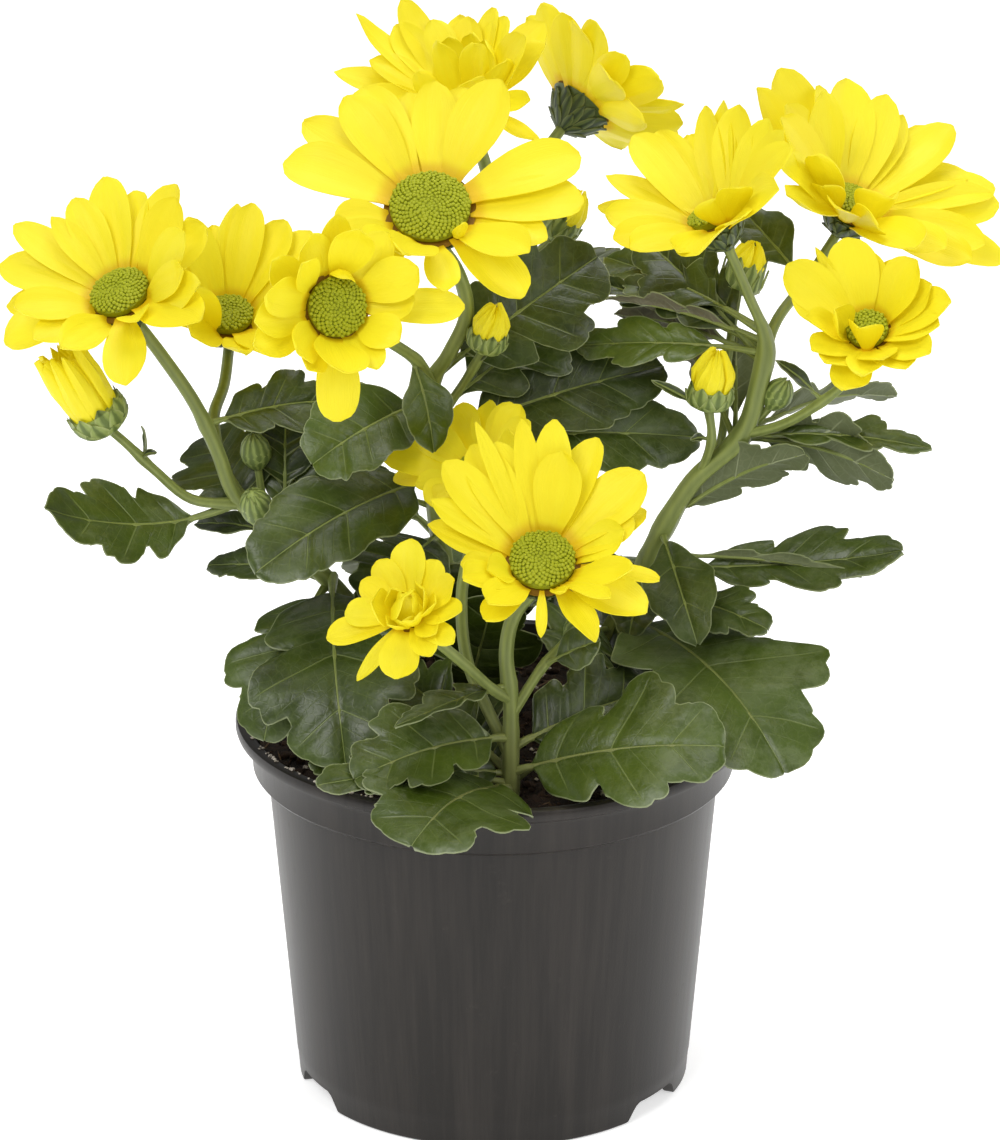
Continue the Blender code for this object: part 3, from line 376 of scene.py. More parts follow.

# In each leaf row, the shade number paints shade on leaves low and deep in the plant and a sheen
# on some lit ones, beside their own tone.
STEMS = (
    Stem("stem_front", (
        Shoot(((4, -40, 66), (4, -40, 76), (4, -40, 84), (4, -41, 94), (4, -42, 110),
              (3, -43, 122), (5, -42, 131)), 1.9, 1.5, "front"),
        Shoot(((4, -42, 110), (-1, -46, 115), (-6, -51, 122), (-12, -55, 129)),
              1.3, 1.2, "front_small"),
        Shoot(((4, -41, 96), (-1, -39, 106), (-6, -36, 118), (-7, -31, 132),
              (-4, -24, 143)), 1.3, 1.3, "front_back"),
        Shoot(((4, -42, 106), (11, -40, 117)), 1.2, 0.9, "green_front"),
    ), (
        ((4, -41, 92), (52, -55, 104), 5, 8, 52, 16, 0.1, BROAD),
        ((4, -41, 88), (-18, -79, 90), 7, -15, 62, 20, 0.14, BROAD, 0.4, 0.06),
        ((3, -42, 101), (-31, -60, 98), 4, -10, 56, 12, 0.1, BROAD, 0.4, 0.14),
        ((3, -40, 89), (-42, -38, 93), 3, -10, 60, 7, 0.5, NARROW),
        ((3, -43, 114), (-22, -58, 110), 3, 120, 30, 5.5, 0.16, NARROW, 0.4, 0.2),
        ((12, -40, 118), (24, -46, 126), 2, 10, 40, 5, 0.15, TINY),
        ((5, -40, 90), (33, -20, 98), 4, 20, 50, 10, 0.2, NARROW),
        ((3, -40, 92), (-24, -16, 108), 4, -20, 45, 10, 0.2, NARROW),
        ((3.4, -41, 89.5), (-39.2, -62, 97.5), 4, -10, 58, 6.5, 0.2, BROAD, 0.25),
        ((3.4, -40, 91.1), (-13.3, -46, 92.4), 3, -15, 50, 8, 0.15, TINY, 0.05, 0.08),
        ((4.1, -40, 97.5), (37, -26, 106), 4, 15, 45, 13, 0.14, BROAD, 0.15, 0.08),
        ((3.4, -41, 91), (-9.4, -16, 99.4), 3, -20, 45, 10, 0.15, BROAD, 0.05),
    )),
    Stem("stem_left", (
        Shoot(((-17, 8, 66), (-17, 8, 76), (-17, 8, 84), (-22, 6, 98), (-34, 1, 118),
              (-50, -2, 135), (-59, -4, 145), (-63, -4, 156), (-68, -5, 168),
              (-75, -7, 180)), 2.1, 1.4, "far_left"),
        Shoot(((-63, -4, 156), (-64, 3, 162), (-62, 14, 166)), 1.4, 1.2, "left_back"),
        Shoot(((-58, -4, 143), (-69, -6, 145), (-77, -9, 153), (-83, -11, 160)), 1.2, 1, "left"),
        Shoot(((-52, -2, 136), (-53, 0, 143)), 1, 0.9, "green_left_high"),
        Shoot(((-52, -2, 136),), 1, 1, "green_left_low"),
    ), (
        ((-60, -4, 143), (-101.4, -24, 149.3), -8, -12, 50, 11.5, 0.24, BROAD, 0.4, 0.08),
        ((-65.2, -4, 162.5), (-34, 6, 164.8), 3, 10, 48, 8, 0.12, BROAD, 0.2, 0.12),
        ((-53.1, -2, 137.9), (-66.6, 18, 151.5), 4, -12, 42, 12.5, 0.18, BROAD, 0.15),
        ((-46, -1, 131), (-30, 12, 160), 3, -5, 30, 8.5, 0.22, NARROW),
        ((-39.6, 0.1, 123.1), (-66.3, 6, 124), 3, -5, 55, 4.8, 0.15, SMOOTH, 0.3),
        ((-49.9, -2, 134.9), (-69.3, 8, 133.6), 2, -10, 60, 3.6, 0.2, TINY, 0.1),
        ((-37, 0, 124), (-33.2, -45, 95.2), 8, -8, 38, 19, 0.12, BROAD, 0.32, 0.08),
        ((-47.9, -1, 134.1), (-47.8, 14, 163.9), 4, 0, 40, 8, 0.28, NARROW, 0.1),
        ((-50, -1, 134.6), (-41.9, 14, 154.1), 3, 5, 42, 8.5, 0.2, BROAD, 0.35),
        ((-38.3, 0.6, 121.8), (-52.2, -30, 94.8), 6, -22, 42, 12.5, 0.12, BROAD, 0.3, 0.08),
        ((-80.3, -10, 155.9), (-79.9, -10, 164.2), -1, -60, 20, 0.9, 0.1, TINY, 0),
        ((-80.6, -10, 156.2), (-76.3, -12, 158.4), 1, 0, 60, 1, 0.1, TINY, 0),
    )),
    Stem("stem_centre", (
        Shoot(((-6, 14, 66), (-6, 14, 76), (-6, 14, 84), (-9, 12, 110), (-13, 8, 135),
              (-14, 5, 155), (-14, 2, 170), (-10, 0, 178), (-6, -1, 188),
              (-8, -4, 199)), 2.1, 1.5, "large"),
        Shoot(((-14, 2, 170), (-17, -8, 179), (-24, -19, 188), (-31, -29, 196)),
              1.3, 1.2, "left_near"),
        Shoot(((-14, 5, 155), (-11, 3, 163), (-6, 0, 172)), 1.1, 1, "centre"),
    ), (
        ((-13, 6, 146), (-53.8, -28, 135.1), 6, -10, 46, 12.5, 0.12, SMOOTH, 0.3, 0.14),
        ((-14, 4, 166), (-40.9, -18, 157.6), 5, -15, 30, 11, 0.18, SMOOTH, 0.6, 0.12),
        ((-13.8, 2.5, 171.6), (24.1, 18, 195.6), 4, 5, 28, 14, 0.18, BROAD, 0.25),
        ((-13.6, 4.4, 161.9), (20, 22, 183), 4, 5, 30, 11.5, 0.18, NARROW),
        ((-13.4, 6.1, 153.4), (47.8, 12, 153.4), 6, 8, 40, 10.5, 0.16, SMOOTH, 0.3, 0.08),
        ((-11, 10, 128), (-38, 28, 140), 5, -150, 45, 12, 0.2, BROAD),
        ((-12.6, 8.8, 135.7), (15, 16, 158), 4, 0, 38, 12, 0.2, NARROW),
        ((-7, 13, 98), (-22, -18, 114), 5, -10, 45, 11, 0.2, NARROW),
        ((-13.1, 6, 155.5), (39.4, 16, 169.6), 5, 4, 38, 11.5, 0.16, SMOOTH, 0.2, 0.08),
        ((-12.3, 9, 130.5), (-27.7, -14, 121.8), 4, -10, 45, 12, 0.15, BROAD, 0.1),
        ((-13, 8, 137.6), (-38.3, 14, 141.3), 3, -5, 40, 6, 0.25, TINY, 0.15),
        ((-18.3, -8, 179.8), (-13.4, -14, 159.1), 2, 25, 22, 6.5, 0.1, TINY, 0.55),
        ((-8.5, 11.3, 107.1), (-31.8, -4, 121.9), 4, -10, 42, 14, 0.12, BROAD, 0.1),
        ((-7.3, 12.1, 98.5), (-11.8, 0, 125.8), 3, 0, 35, 12, 0.12, BROAD, 0.05),
        ((-6.4, 13, 87.6), (0.2, -8, 122), 3, 5, 32, 13, 0.12, BROAD, 0.2),
        ((-4.8, -1.2, 175.7), (-0.2, -3, 181.4), 1, 0, 40, 1.6, 0.15, TINY, 0.3),
    )),
    Stem("stem_right", (
        Shoot(((21, 17, 66), (21, 17, 76), (21, 17, 84), (25, 12, 100), (33, 7, 118),
              (38, 5, 131), (46, 3, 146), (57, 1, 158), (61, 0, 172), (62, -1, 182),
              (58, -4, 193)), 2.2, 1.15, "right_inner", 0.74),
        Shoot(((61, 0, 176), (65, 7, 184), (72, 17, 190)), 1.4, 1.1, "right_outer"),
        Shoot(((57, 1, 158), (66, -3, 162), (74, -6, 168), (81, -8, 175)), 1.2, 1.1, "right_low"),
        Shoot(((47, 3, 147), (49, 0, 153), (50, -2, 159)), 1, 1, "right"),
        Shoot(((51, 3, 151), (53, 7, 158), (54, 10, 174)), 1, 1, "right_back"),
        Shoot(((60, 1, 161),), 1, 1, "green_right"),
    ), (
        ((29, 9, 111), (66, -45, 93), 10, 25, 52, 22.5, 0.12, BROAD, 0.75, 0.06),
        ((39, 5, 133), (46.7, -24, 116), 5, -10, 42, 8.5, 0.15, TINY, 0.45, 0.08),
        ((36, 6, 124), (94, -8, 133), -2, 10, 62, 9.5, 0.22, BROAD, 0.4, 0.2),
        ((57.1, 1, 157.6), (99.9, -10, 158.6), 3, 8, 60, 5, 0.12, NARROW, 0.45, 0.2),
        ((57.1, 1, 158), (93.7, 20, 160.8), 5, 180, 35, 6.5, 0.16, NARROW, 0.8, 0.14),
        ((62, 0, 181), (25.8, 8, 188.8), 2, 165, 48, 4.2, 0.2, NARROW, 0.05, 0.2),
        ((61.2, -0.8, 183.8), (26, 28, 192), 4, 0, 45, 9, 0.24, NARROW),
        ((55.2, 1.8, 157.3), (40.4, 20, 179.9), 3, 175, 30, 6, 0.3, NARROW, 0.1),
        ((72, 17, 189), (57, 28, 204), 2, 10, 20, 6.5, 0.26, TINY),
        ((27, 11, 106), (14, -20, 112), 5, 15, 45, 11, 0.2, NARROW),
        ((57.1, 1, 157.6), (91.5, -12, 151.8), 4, 176, 25, 11, 0.14, BROAD, 0.75),
        ((40.4, 4, 136.6), (71.3, -8, 156.7), 4, 172, 24, 7, 0.14, BROAD, 0.9, 0.12),
        ((33.6, 6.8, 116.6), (62.9, -18, 117.5), 4, 12, 52, 7, 0.2, BROAD, 0.3),
        ((36.8, 6, 126.5), (84.6, -10, 127.4), 3, 175, 20, 2.4, 0.2, NARROW, 0.9),
        ((58, 1.4, 157.3), (79.3, 8, 151.4), 1, 5, 45, 3.4, 0.3, TINY, 0.3),
        ((61.3, 0, 178.5), (18.6, 12, 175.8), 4, 2, 40, 6, 0.26, BROAD, 0.95, 0.12),
        ((60.9, 1.3, 177.1), (34.1, 24, 198.5), 4, -5, 34, 10, 0.22, BROAD, 0.15),
        ((61.6, 2.4, 179), (22.3, 18, 189.8), 3, 0, 42, 4.2, 0.35, NARROW, 0.2, 0.12),
        ((60.8, 1.1, 176.7), (27.8, 14, 182.9), 3, 168, 35, 6.5, 0.22, NARROW, 0.05, 0.14),
        ((55.6, 2.4, 155.5), (56, 12, 178.7), 2, 180, 15, 5, 0.25, TINY, 0.8),
        ((20.9, 17, 83.9), (37.5, -4, 107.5), 4, 15, 42, 12, 0.14, BROAD, 0.1),
        ((34.1, 6, 119.3), (31.1, -10, 111.9), 2, 0, 45, 5.5, 0.15, TINY, 0.1),
        ((74.6, -6.2, 169.3), (64.1, -8, 179.3), 1, 30, 40, 1.9, 0.15, TINY, 0),
        ((48.7, -2.8, 165.6), (36, -4, 173.1), 1, -20, 40, 1.2, 0.2, TINY, 0),
        ((50, -1.2, 157.9), (45.1, -2, 157.9), 1, -20, 50, 1.1, 0.2, TINY, 0),
    )),
    Stem("stem_back", (
        Shoot(((2, 34, 66), (2, 34, 76), (2, 34, 84), (1, 36, 110), (1, 38, 140),
              (1, 39, 170), (1, 40, 190), (-1, 40, 207)), 2.1, 1.4, "top"),
        Shoot(((1, 40, 188), (4, 45, 198), (9, 51, 206)), 1.4, 1.3, "top_right"),
        Shoot(((1, 39, 178), (7, 35, 187)), 1.1, 1, "back"),
    ), (
        ((2, 36, 98), (34, 66, 97), 10, 150, 55, 17, 0.16, BROAD, 0.4, 0.08),
        ((2, 36, 104), (-32, 64, 99), 10, -150, 55, 16, 0.16, BROAD, 0.4, 0.08),
        ((1, 38, 136), (-40, 56, 146), 5, -160, 55, 12.5, 0.18, BROAD),
        ((1, 38, 146), (40, 58, 152), 5, 160, 50, 12.5, 0.18, BROAD),
        ((1, 39, 168), (-20, 64, 186), 4, -170, 45, 9, 0.2, NARROW),
        ((1, 39, 176), (30, 60, 182), 4, 170, 50, 8.5, 0.2, NARROW),
        ((1, 36, 96), (9, -2, 117), 3, 0, 50, 14, 0.24, BROAD),
        ((0.9, 37, 109.6), (32.5, 16, 111.1), 4, 5, 45, 14, 0.12, BROAD, 0.05),
    )),
)


# Directions and curves


@cache
def pot_axis() -> Vector:
    """The pot's middle, in the row frame."""
    low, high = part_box("pot")
    return (low + high) / 2


def row(points: Array) -> Array:
    """Points in the row frame, from millimetres off the pot's axis."""
    return np.asarray(points, float) * MM + (pot_axis().x, pot_axis().y, 0.0)


def unit(vector: Array) -> Array:
    """Vectors along the last axis, brought to length 1."""
    return vector / np.maximum(np.linalg.norm(vector, axis=-1, keepdims=True), 1e-12)


def facing(turn: float, lift: float) -> Array:
    """Unit direction that a turn and a lift in degrees name."""
    t, up = math.radians(turn), math.radians(lift)
    return np.array([math.sin(t) * math.cos(up), -math.cos(t) * math.cos(up), math.sin(up)])


class Spindle:
    """A place and an axis, with two directions across it."""

    def __init__(self, origin: Point, axis: Array) -> None:
        """Works out the level direction to the right, and the one up along the axis.

        Args:
            origin: The place.
            axis: Unit direction.
        """
        self.origin, self.axis = np.array(origin, float), axis
        side = np.cross([0.0, 0.0, 1.0], axis)
        self.right = unit(side) if np.linalg.norm(side) > 1e-6 else np.array([1.0, 0.0, 0.0])
        self.up = np.cross(axis, self.right)

    def across(self, angle: float) -> Array:
        """Unit direction across the axis at an angle from its right."""
        return self.right * math.cos(angle) + self.up * math.sin(angle)

    def place(self, x: Array, y: Array, z: Array) -> Array:
        """Points at distances to the right, up and along the axis."""
        return (self.origin + np.outer(x, self.right) + np.outer(y, self.up)
                + np.outer(z, self.axis))

    def about(self, angle: Array, radius: Array, height: Array) -> Array:
        """Points at angles, radii and heights about the axis."""
        return self.place(np.cos(angle) * radius, np.sin(angle) * radius, height)


def smooth_curve(knots: Points, shares: Array) -> Array:
    """Places on a smooth curve through knots.

    Args:
        knots: The curve's points, of any dimension, evenly spaced in its parameter.
        shares: Parameters from 0 to 1.

    Returns:
        One row for each share.
    """
    table = np.array(knots, float)
    padded = np.vstack([2 * table[0] - table[1], table, 2 * table[-1] - table[-2]])
    spans = len(table) - 1
    at = np.clip(np.asarray(shares, float) * spans, 0.0, spans - 1e-9)
    first = at.astype(int)
    t = (at - first)[:, None]
    p0, p1, p2, p3 = (padded[first + k] for k in range(4))
    return 0.5 * (p1 * 2 + (p2 - p0) * t + (p0 * 2 - p1 * 5 + p2 * 4 - p3) * t ** 2
                  + (p1 * 3 - p0 - p2 * 3 + p3) * t ** 3)


def ease(low: float, high: float, value: Array) -> Array:
    """Smooth step from 0 at low to 1 at high."""
    t = np.clip((value - low) / (high - low), 0.0, 1.0)
    return t * t * (3 - 2 * t)


# Shader maths


def operator(operation: str, reflected: bool = False) -> Callable:
    """Makes a method of Wire for a Python operator.

    Args:
        operation: The Math node's operation.
        reflected: Whether the wire is the second term.

    Returns:
        The method.
    """

    def method(wire: "Wire", other: "Term") -> "Wire":
        """Result of the Math node."""
        return wire.tree.maths(operation, *((other, wire) if reflected else (wire, other)))

    return method


class Wire:
    """An output of a node, with Python operators that add Math nodes to its tree."""

    def __init__(self, tree: "Tree", socket: bpy.types.NodeSocket) -> None:
        """Wraps a socket of a tree."""
        self.tree = tree
        self.socket = socket

    def maths(self, operation: str, *others: "Term") -> "Wire":
        """Result of a Math node whose first input is this wire."""
        return self.tree.maths(operation, self, *others)

    __add__ = __radd__ = operator("ADD")
    __sub__, __rsub__ = operator("SUBTRACT"), operator("SUBTRACT", True)
    __mul__ = __rmul__ = operator("MULTIPLY")
    __truediv__, __rtruediv__ = operator("DIVIDE"), operator("DIVIDE", True)

    def __abs__(self) -> "Wire":
        """Distance from zero."""
        return self.maths("ABSOLUTE")

    def step(self, low: float, high: float) -> "Wire":
        """Smooth step between two values, of which either may be the larger.

        Args:
            low: Value at which the step is 0.
            high: Value at which it is 1.

        Returns:
            The step.
        """
        ends = {"From Min": min(low, high), "From Max": max(low, high)}
        out = self.tree.add("ShaderNodeMapRange", {"interpolation_type": "SMOOTHSTEP"},
                            {"Value": self, **ends})
        return 1 - out if low > high else out


Term = Union[Wire, float]
Paint = Union[Wire, Colour]


class Tree:
    """The node tree of one material, built by short calls."""

    def __init__(self, name: str) -> None:
        """Starts a material with a Principled shader.

        Args:
            name: The material's name.
        """
        self.material = bpy.data.materials.new(name)
        self.material.use_nodes = True
        self.nodes = self.material.node_tree.nodes
        self.links = self.material.node_tree.links
        self.shader = self.nodes["Principled BSDF"]

    def add(self, kind: str, settings: dict, inputs: dict, output: Union[int, str] = 0) -> Wire:
        """Adds a node.

        Args:
            kind: The node's type.
            settings: Its properties, set before its sockets are used.
            inputs: Values or wires by socket name, identifier or number.
            output: The output that is wanted.

        Returns:
            The wire of that output.
        """
        node = self.nodes.new(kind)
        for key, value in settings.items():
            setattr(node, key, value)
        for key, value in inputs.items():
            self.feed(self.find(node, key), value)
        return Wire(self, node.outputs[output])

    def find(self, node: bpy.types.Node, key: Union[int, str]) -> bpy.types.NodeSocket:
        """Input of a node by number or identifier, or else by name."""
        exact = [s for k, s in enumerate(node.inputs) if key in (k, s.identifier)]
        return (exact or [s for s in node.inputs if s.name == key and s.enabled])[0]

    def feed(self, socket: bpy.types.NodeSocket, value: Union[Wire, float, Sequence]) -> None:
        """Links a wire to a socket, or sets the socket's own value.

        Args:
            socket: The socket.
            value: The wire or value.
        """
        if isinstance(value, Wire):
            self.links.new(value.socket, socket)
        elif socket.type == "RGBA" and len(value) == 3:
            socket.default_value = (*value, 1.0)
        else:
            socket.default_value = value

    def maths(self, operation: str, *terms: Term) -> Wire:
        """Result of a Math node."""
        return self.add("ShaderNodeMath", {"operation": operation}, dict(enumerate(terms)))

    def mix(self, factor: Term, low: Paint, high: Paint) -> Wire:
        """Colour between two colours."""
        inputs = {"Factor_Float": factor, "A_Color": low, "B_Color": high}
        return self.add("ShaderNodeMix", {"data_type": "RGBA", "clamp_factor": True}, inputs, 2)

    def attributes(self, *names: str) -> list[Wire]:
        """Numbers that the piece's mesh carries at its points."""
        return [self.add("ShaderNodeAttribute", {"attribute_name": name}, {}, "Fac")
                for name in names]

    def place(self, scale: Point = (1, 1, 1), shift: Point = (0, 0, 0)) -> Wire:
        """Object coordinates, moved and scaled."""
        spot = self.add("ShaderNodeTexCoord", {}, {}, "Object")
        return self.add("ShaderNodeMapping", {},
                        {"Vector": spot, "Location": shift, "Scale": scale})

    def noise(self, spot: Wire, scale: float, detail: float = 2.0, rough: float = 0.5) -> Wire:
        """Noise from 0 to 1."""
        inputs = {"Vector": spot, "Scale": scale, "Detail": detail, "Roughness": rough}
        return self.add("ShaderNodeTexNoise", {}, inputs, "Fac")

    def cells(self, spot: Wire, scale: float, feature: str = "F1") -> Wire:
        """Distance in a cell pattern."""
        return self.add("ShaderNodeTexVoronoi", {"feature": feature},
                        {"Vector": spot, "Scale": scale}, "Distance")

    def vector(self, x: Term, y: Term, z: Term) -> Wire:
        """A vector of three numbers."""
        return self.add("ShaderNodeCombineXYZ", {}, {"X": x, "Y": y, "Z": z})

    def parts(self, vector: Wire) -> list[Wire]:
        """The three numbers of a vector."""
        node = self.add("ShaderNodeSeparateXYZ", {}, {"Vector": vector}).socket.node
        return [Wire(self, out) for out in node.outputs]

    def bump(self, height: Wire, distance: float, strength: float = 1.0) -> Wire:
        """Normal of a surface with a fine relief, its full height given in metres."""
        inputs = {"Height": height, "Distance": distance, "Strength": strength}
        return self.add("ShaderNodeBump", {}, inputs, "Normal")

    def finish(self, colour: Paint, rough: Term, normal: Optional[Wire], specular: float = 0.5,
               **others: Union[float, Sequence]) -> Material:
        """Feeds the shader.

        Args:
            colour: Base colour.
            rough: Roughness.
            normal: Normal of the relief.
            specular: Level of the gloss.
            others: Constants by the shader's inputs, with underscores for spaces.

        Returns:
            The material.
        """
        inputs = {"Base Color": colour, "Roughness": rough, "Specular IOR Level": specular}
        inputs.update({key.replace("_", " "): value for key, value in others.items()})
        if normal:
            inputs["Normal"] = normal
        for key, value in inputs.items():
            self.feed(self.find(self.shader, key), value)
        return self.material


# Finishes


@dataclass(frozen=True)
class PetalFinish:
    """Silky yellow petal: fine lengthwise lines, with painted shade that deepens its yellow
    towards its root and turns the root itself a darker orange.

    Its faint glow stands for the light that comes through it.
    """

    name: str = "petal_silk"
    light: Colour = (0.73, 0.65, 0.018)
    deep: Colour = (0.7, 0.545, 0.003)
    # Painted shade at the petal's root, where the petals crowd round the disc.
    root: Colour = (0.6, 0.33, 0.002)
    roughness: float = 0.48
    glow: float = 0.15

    def material(self) -> Material:
        """Makes the material.

        Returns:
            The material.
        """
        tree = Tree(self.name)
        across, along, tone = tree.attributes("across", "along", "tone")
        lines = tree.noise(tree.vector(across * 7.0 + tone * 40.0, along * 0.8, tone * 9.0),
                           3.0, 3.0, 0.6)
        blotch = tree.noise(tree.place(), 140.0, 2.0)
        shade = (lines - 0.5) * 0.55 + (blotch - 0.5) * 0.4 + tone * 0.35
        # Painted shade: the half towards the root turns a deeper yellow.
        shade = shade + along.step(0.5, 0.0) * 0.3
        colour = tree.mix(shade, self.light, self.deep)
        # Painted shade: the darker orange of the root.
        colour = tree.mix(along.step(0.16, 0.02) * 0.85, colour, self.root)
        rough = self.roughness + (lines - 0.5) * 0.12
        normal = tree.bump(lines, 0.00012, 0.8)
        return tree.finish(colour, rough, normal, 0.3, Emission_Strength=self.glow,
                           Emission_Color=(0.98, 0.8, 0.003, 1.0))


@dataclass(frozen=True)
class LeafFinish:
    """Leaf blade: dark green with pale veins and rim above, grey-green below, with painted shade
    and sheen.
    """

    name: str = "leaf_blade"
    # The dark and light greens are the leaves' own tones, and through each leaf's shade number
    # they also paint shade and sheen.
    dark: Colour = (0.015, 0.026, 0.002)
    fresh_and_lit_green: Colour = (0.08, 0.127, 0.008)
    below: Colour = (0.115, 0.138, 0.06)
    brown: Colour = (0.125, 0.112, 0.072)
    vein: Colour = (0.2, 0.25, 0.07)
    pale_vein: Colour = (0.38, 0.42, 0.24)
    rim: Colour = (0.27, 0.31, 0.15)
    waxy_dust_and_painted_sheen: Colour = (0.175, 0.215, 0.1)

    def material(self) -> Material:
        """Makes the material.

        Returns:
            The material.
        """
        tree = Tree(self.name)
        tone, under, phase, reach, off_mid, off_rim = tree.attributes(
            "tone", "under", "phase", "reach", "off_mid", "off_rim")
        spot = tree.place()
        mottle = tree.noise(spot, 95.0, 3.0, 0.6)
        fine = tree.noise(spot, 700.0, 2.0)
        net = tree.cells(spot, 420.0, "DISTANCE_TO_EDGE").step(0.1, 0.0)
        off_side = abs((phase + 0.5).maths("FRACT") - 0.5) * reach
        reached = off_rim.step(0.4, 5.0)
        side = off_side.step(0.3, 0.06) * reached
        minor = (abs((phase * 3.0 + 0.5).maths("FRACT") - 0.5) * reach / 3.0).step(0.2, 0.04)
        middle = off_mid.step(1.0, 0.45)
        veins = (middle * 0.85).maths("MAXIMUM", side * 0.5)
        veins = veins.maths("MAXIMUM", minor * reached * 0.16).maths("MAXIMUM", net * 0.07)
        # Painted shade and sheen: the leaf's tone darkens leaves deep in the plant and lightens
        # some lit ones, beside their own green.
        top = tree.mix(tone * 0.85 + (mottle - 0.42) * 1.0, self.dark, self.fresh_and_lit_green)
        # Pale patches, strongest on light-toned leaves: waxy dust with painted sheen.
        dust_and_sheen_patches = tree.noise(spot, 75.0, 6.0, 0.78).step(0.46, 0.64)
        top = tree.mix(dust_and_sheen_patches * (0.04 + tone * 0.5), top, self.waxy_dust_and_painted_sheen)
        below = tree.mix(tone.step(0.35, 0.05), self.below, self.brown)
        body = tree.mix(under, top, below)
        body = tree.mix(veins, body, tree.mix(under, self.vein, self.pale_vein))
        body = tree.mix(off_rim.step(0.3, 0.06) * 0.65, body, self.rim)
        rough = 0.37 + (fine - 0.5) * 0.16 + (mottle - 0.5) * 0.2 + under * 0.22
        relief = mottle * 0.6 + fine * 0.4 - veins * 0.9
        normal = tree.bump(relief, 0.00035, 0.7)
        return tree.finish(body, rough, normal, 0.48)


@dataclass(frozen=True)
class ShootFinish:
    """Ridged green shoot and leaf stalk, with painted highlight along its ridges and painted shade
    in its grooves.
    """

    name: str = "shoot_green"
    # The groove and ridge colours are painted shade and painted highlight.
    groove: Colour = (0.11, 0.145, 0.028)
    ridge: Colour = (0.3, 0.35, 0.095)
    old: Colour = (0.17, 0.16, 0.065)

    def material(self) -> Material:
        """Makes the material.

        Returns:
            The material.
        """
        tree = Tree(self.name)
        ridge, = tree.attributes("ridge")
        spot = tree.place()
        streak = tree.noise(tree.place(scale=(1.0, 1.0, 0.18)), 600.0, 3.0)
        patch = tree.noise(spot, 60.0, 2.0)
        _, _, height = tree.parts(spot)
        # Painted highlight on the ridges and painted shade in the grooves, with lengthwise
        # streaks.
        colour = tree.mix(0.25 + ridge * 0.4 + (streak - 0.5) * 0.6, self.groove, self.ridge)
        low = height.step(0.125, 0.085) * 0.5 + (patch - 0.5) * 0.3
        colour = tree.mix(low, colour, self.old)
        normal = tree.bump(streak, 0.00015, 0.8)
        return tree.finish(colour, 0.46 + (streak - 0.5) * 0.2, normal, 0.4)


@dataclass(frozen=True)
class BractFinish:
    """Green scale of a cup or bud: dark along its middle, paler at its dry edges."""

    name: str = "bract_green"
    middle: Colour = (0.022, 0.038, 0.01)
    blade: Colour = (0.075, 0.105, 0.026)
    edge: Colour = (0.15, 0.17, 0.055)

    def material(self) -> Material:
        """Makes the material.

        Returns:
            The material.
        """
        tree = Tree(self.name)
        across, along = tree.attributes("across", "along")
        across, grain = abs(across), tree.noise(tree.place(), 900.0, 3.0)
        colour = tree.mix(across.step(0.12, 0.5) + (grain - 0.5) * 0.4, self.middle, self.blade)
        colour = tree.mix(across.step(0.62, 0.98) * 0.75, colour, self.edge)
        colour = tree.mix(along.step(0.86, 1.0) * 0.6, colour, self.middle)
        normal = tree.bump(grain, 0.00012, 0.8)
        return tree.finish(colour, 0.5 + (grain - 0.5) * 0.2, normal, 0.4)


YOUNG_BRACT = BractFinish("bud_green", (0.105, 0.15, 0.03), (0.255, 0.32, 0.084),
                          (0.36, 0.415, 0.16))


@dataclass(frozen=True)
class FloretFinish:
    """Disc florets: olive bodies with pale green mouths, and painted shade down between them and
    on the plate under the petals' roots.
    """

    name: str = "floret_olive"
    painted_pit_shade: Colour = (0.225, 0.25, 0.003)
    body: Colour = (0.3, 0.335, 0.007)
    mouth: Colour = (0.4, 0.425, 0.026)
    painted_gap_shade: Colour = (0.21, 0.105, 0.005)

    def material(self) -> Material:
        """Makes the material.

        Returns:
            The material.
        """
        tree = Tree(self.name)
        height, tone, out = tree.attributes("along", "tone", "out")
        grain = tree.noise(tree.place(), 1500.0, 2.0)
        # Painted shade: each floret darkens towards its foot, down between its neighbours.
        colour = tree.mix(height.step(0.15, 0.8), self.painted_pit_shade, self.body)
        colour = tree.mix(height.step(0.72, 1.0) * (0.12 + tone * 0.35 + out * 0.35), colour,
                          self.mouth)
        colour = tree.mix((grain - 0.5) * 0.5, colour, self.painted_pit_shade)
        # Painted shade: the plate, with tone -1, is brown where it shows between the petals'
        # roots.
        colour = tree.mix(tone.step(-0.2, -0.8), colour, self.painted_gap_shade)
        return tree.finish(colour, 0.55 + (grain - 0.5) * 0.2, None, 0.2,
                           Subsurface_Weight=0.2, Subsurface_Radius=(1.0, 1.0, 0.1),
                           Subsurface_Scale=0.0008)


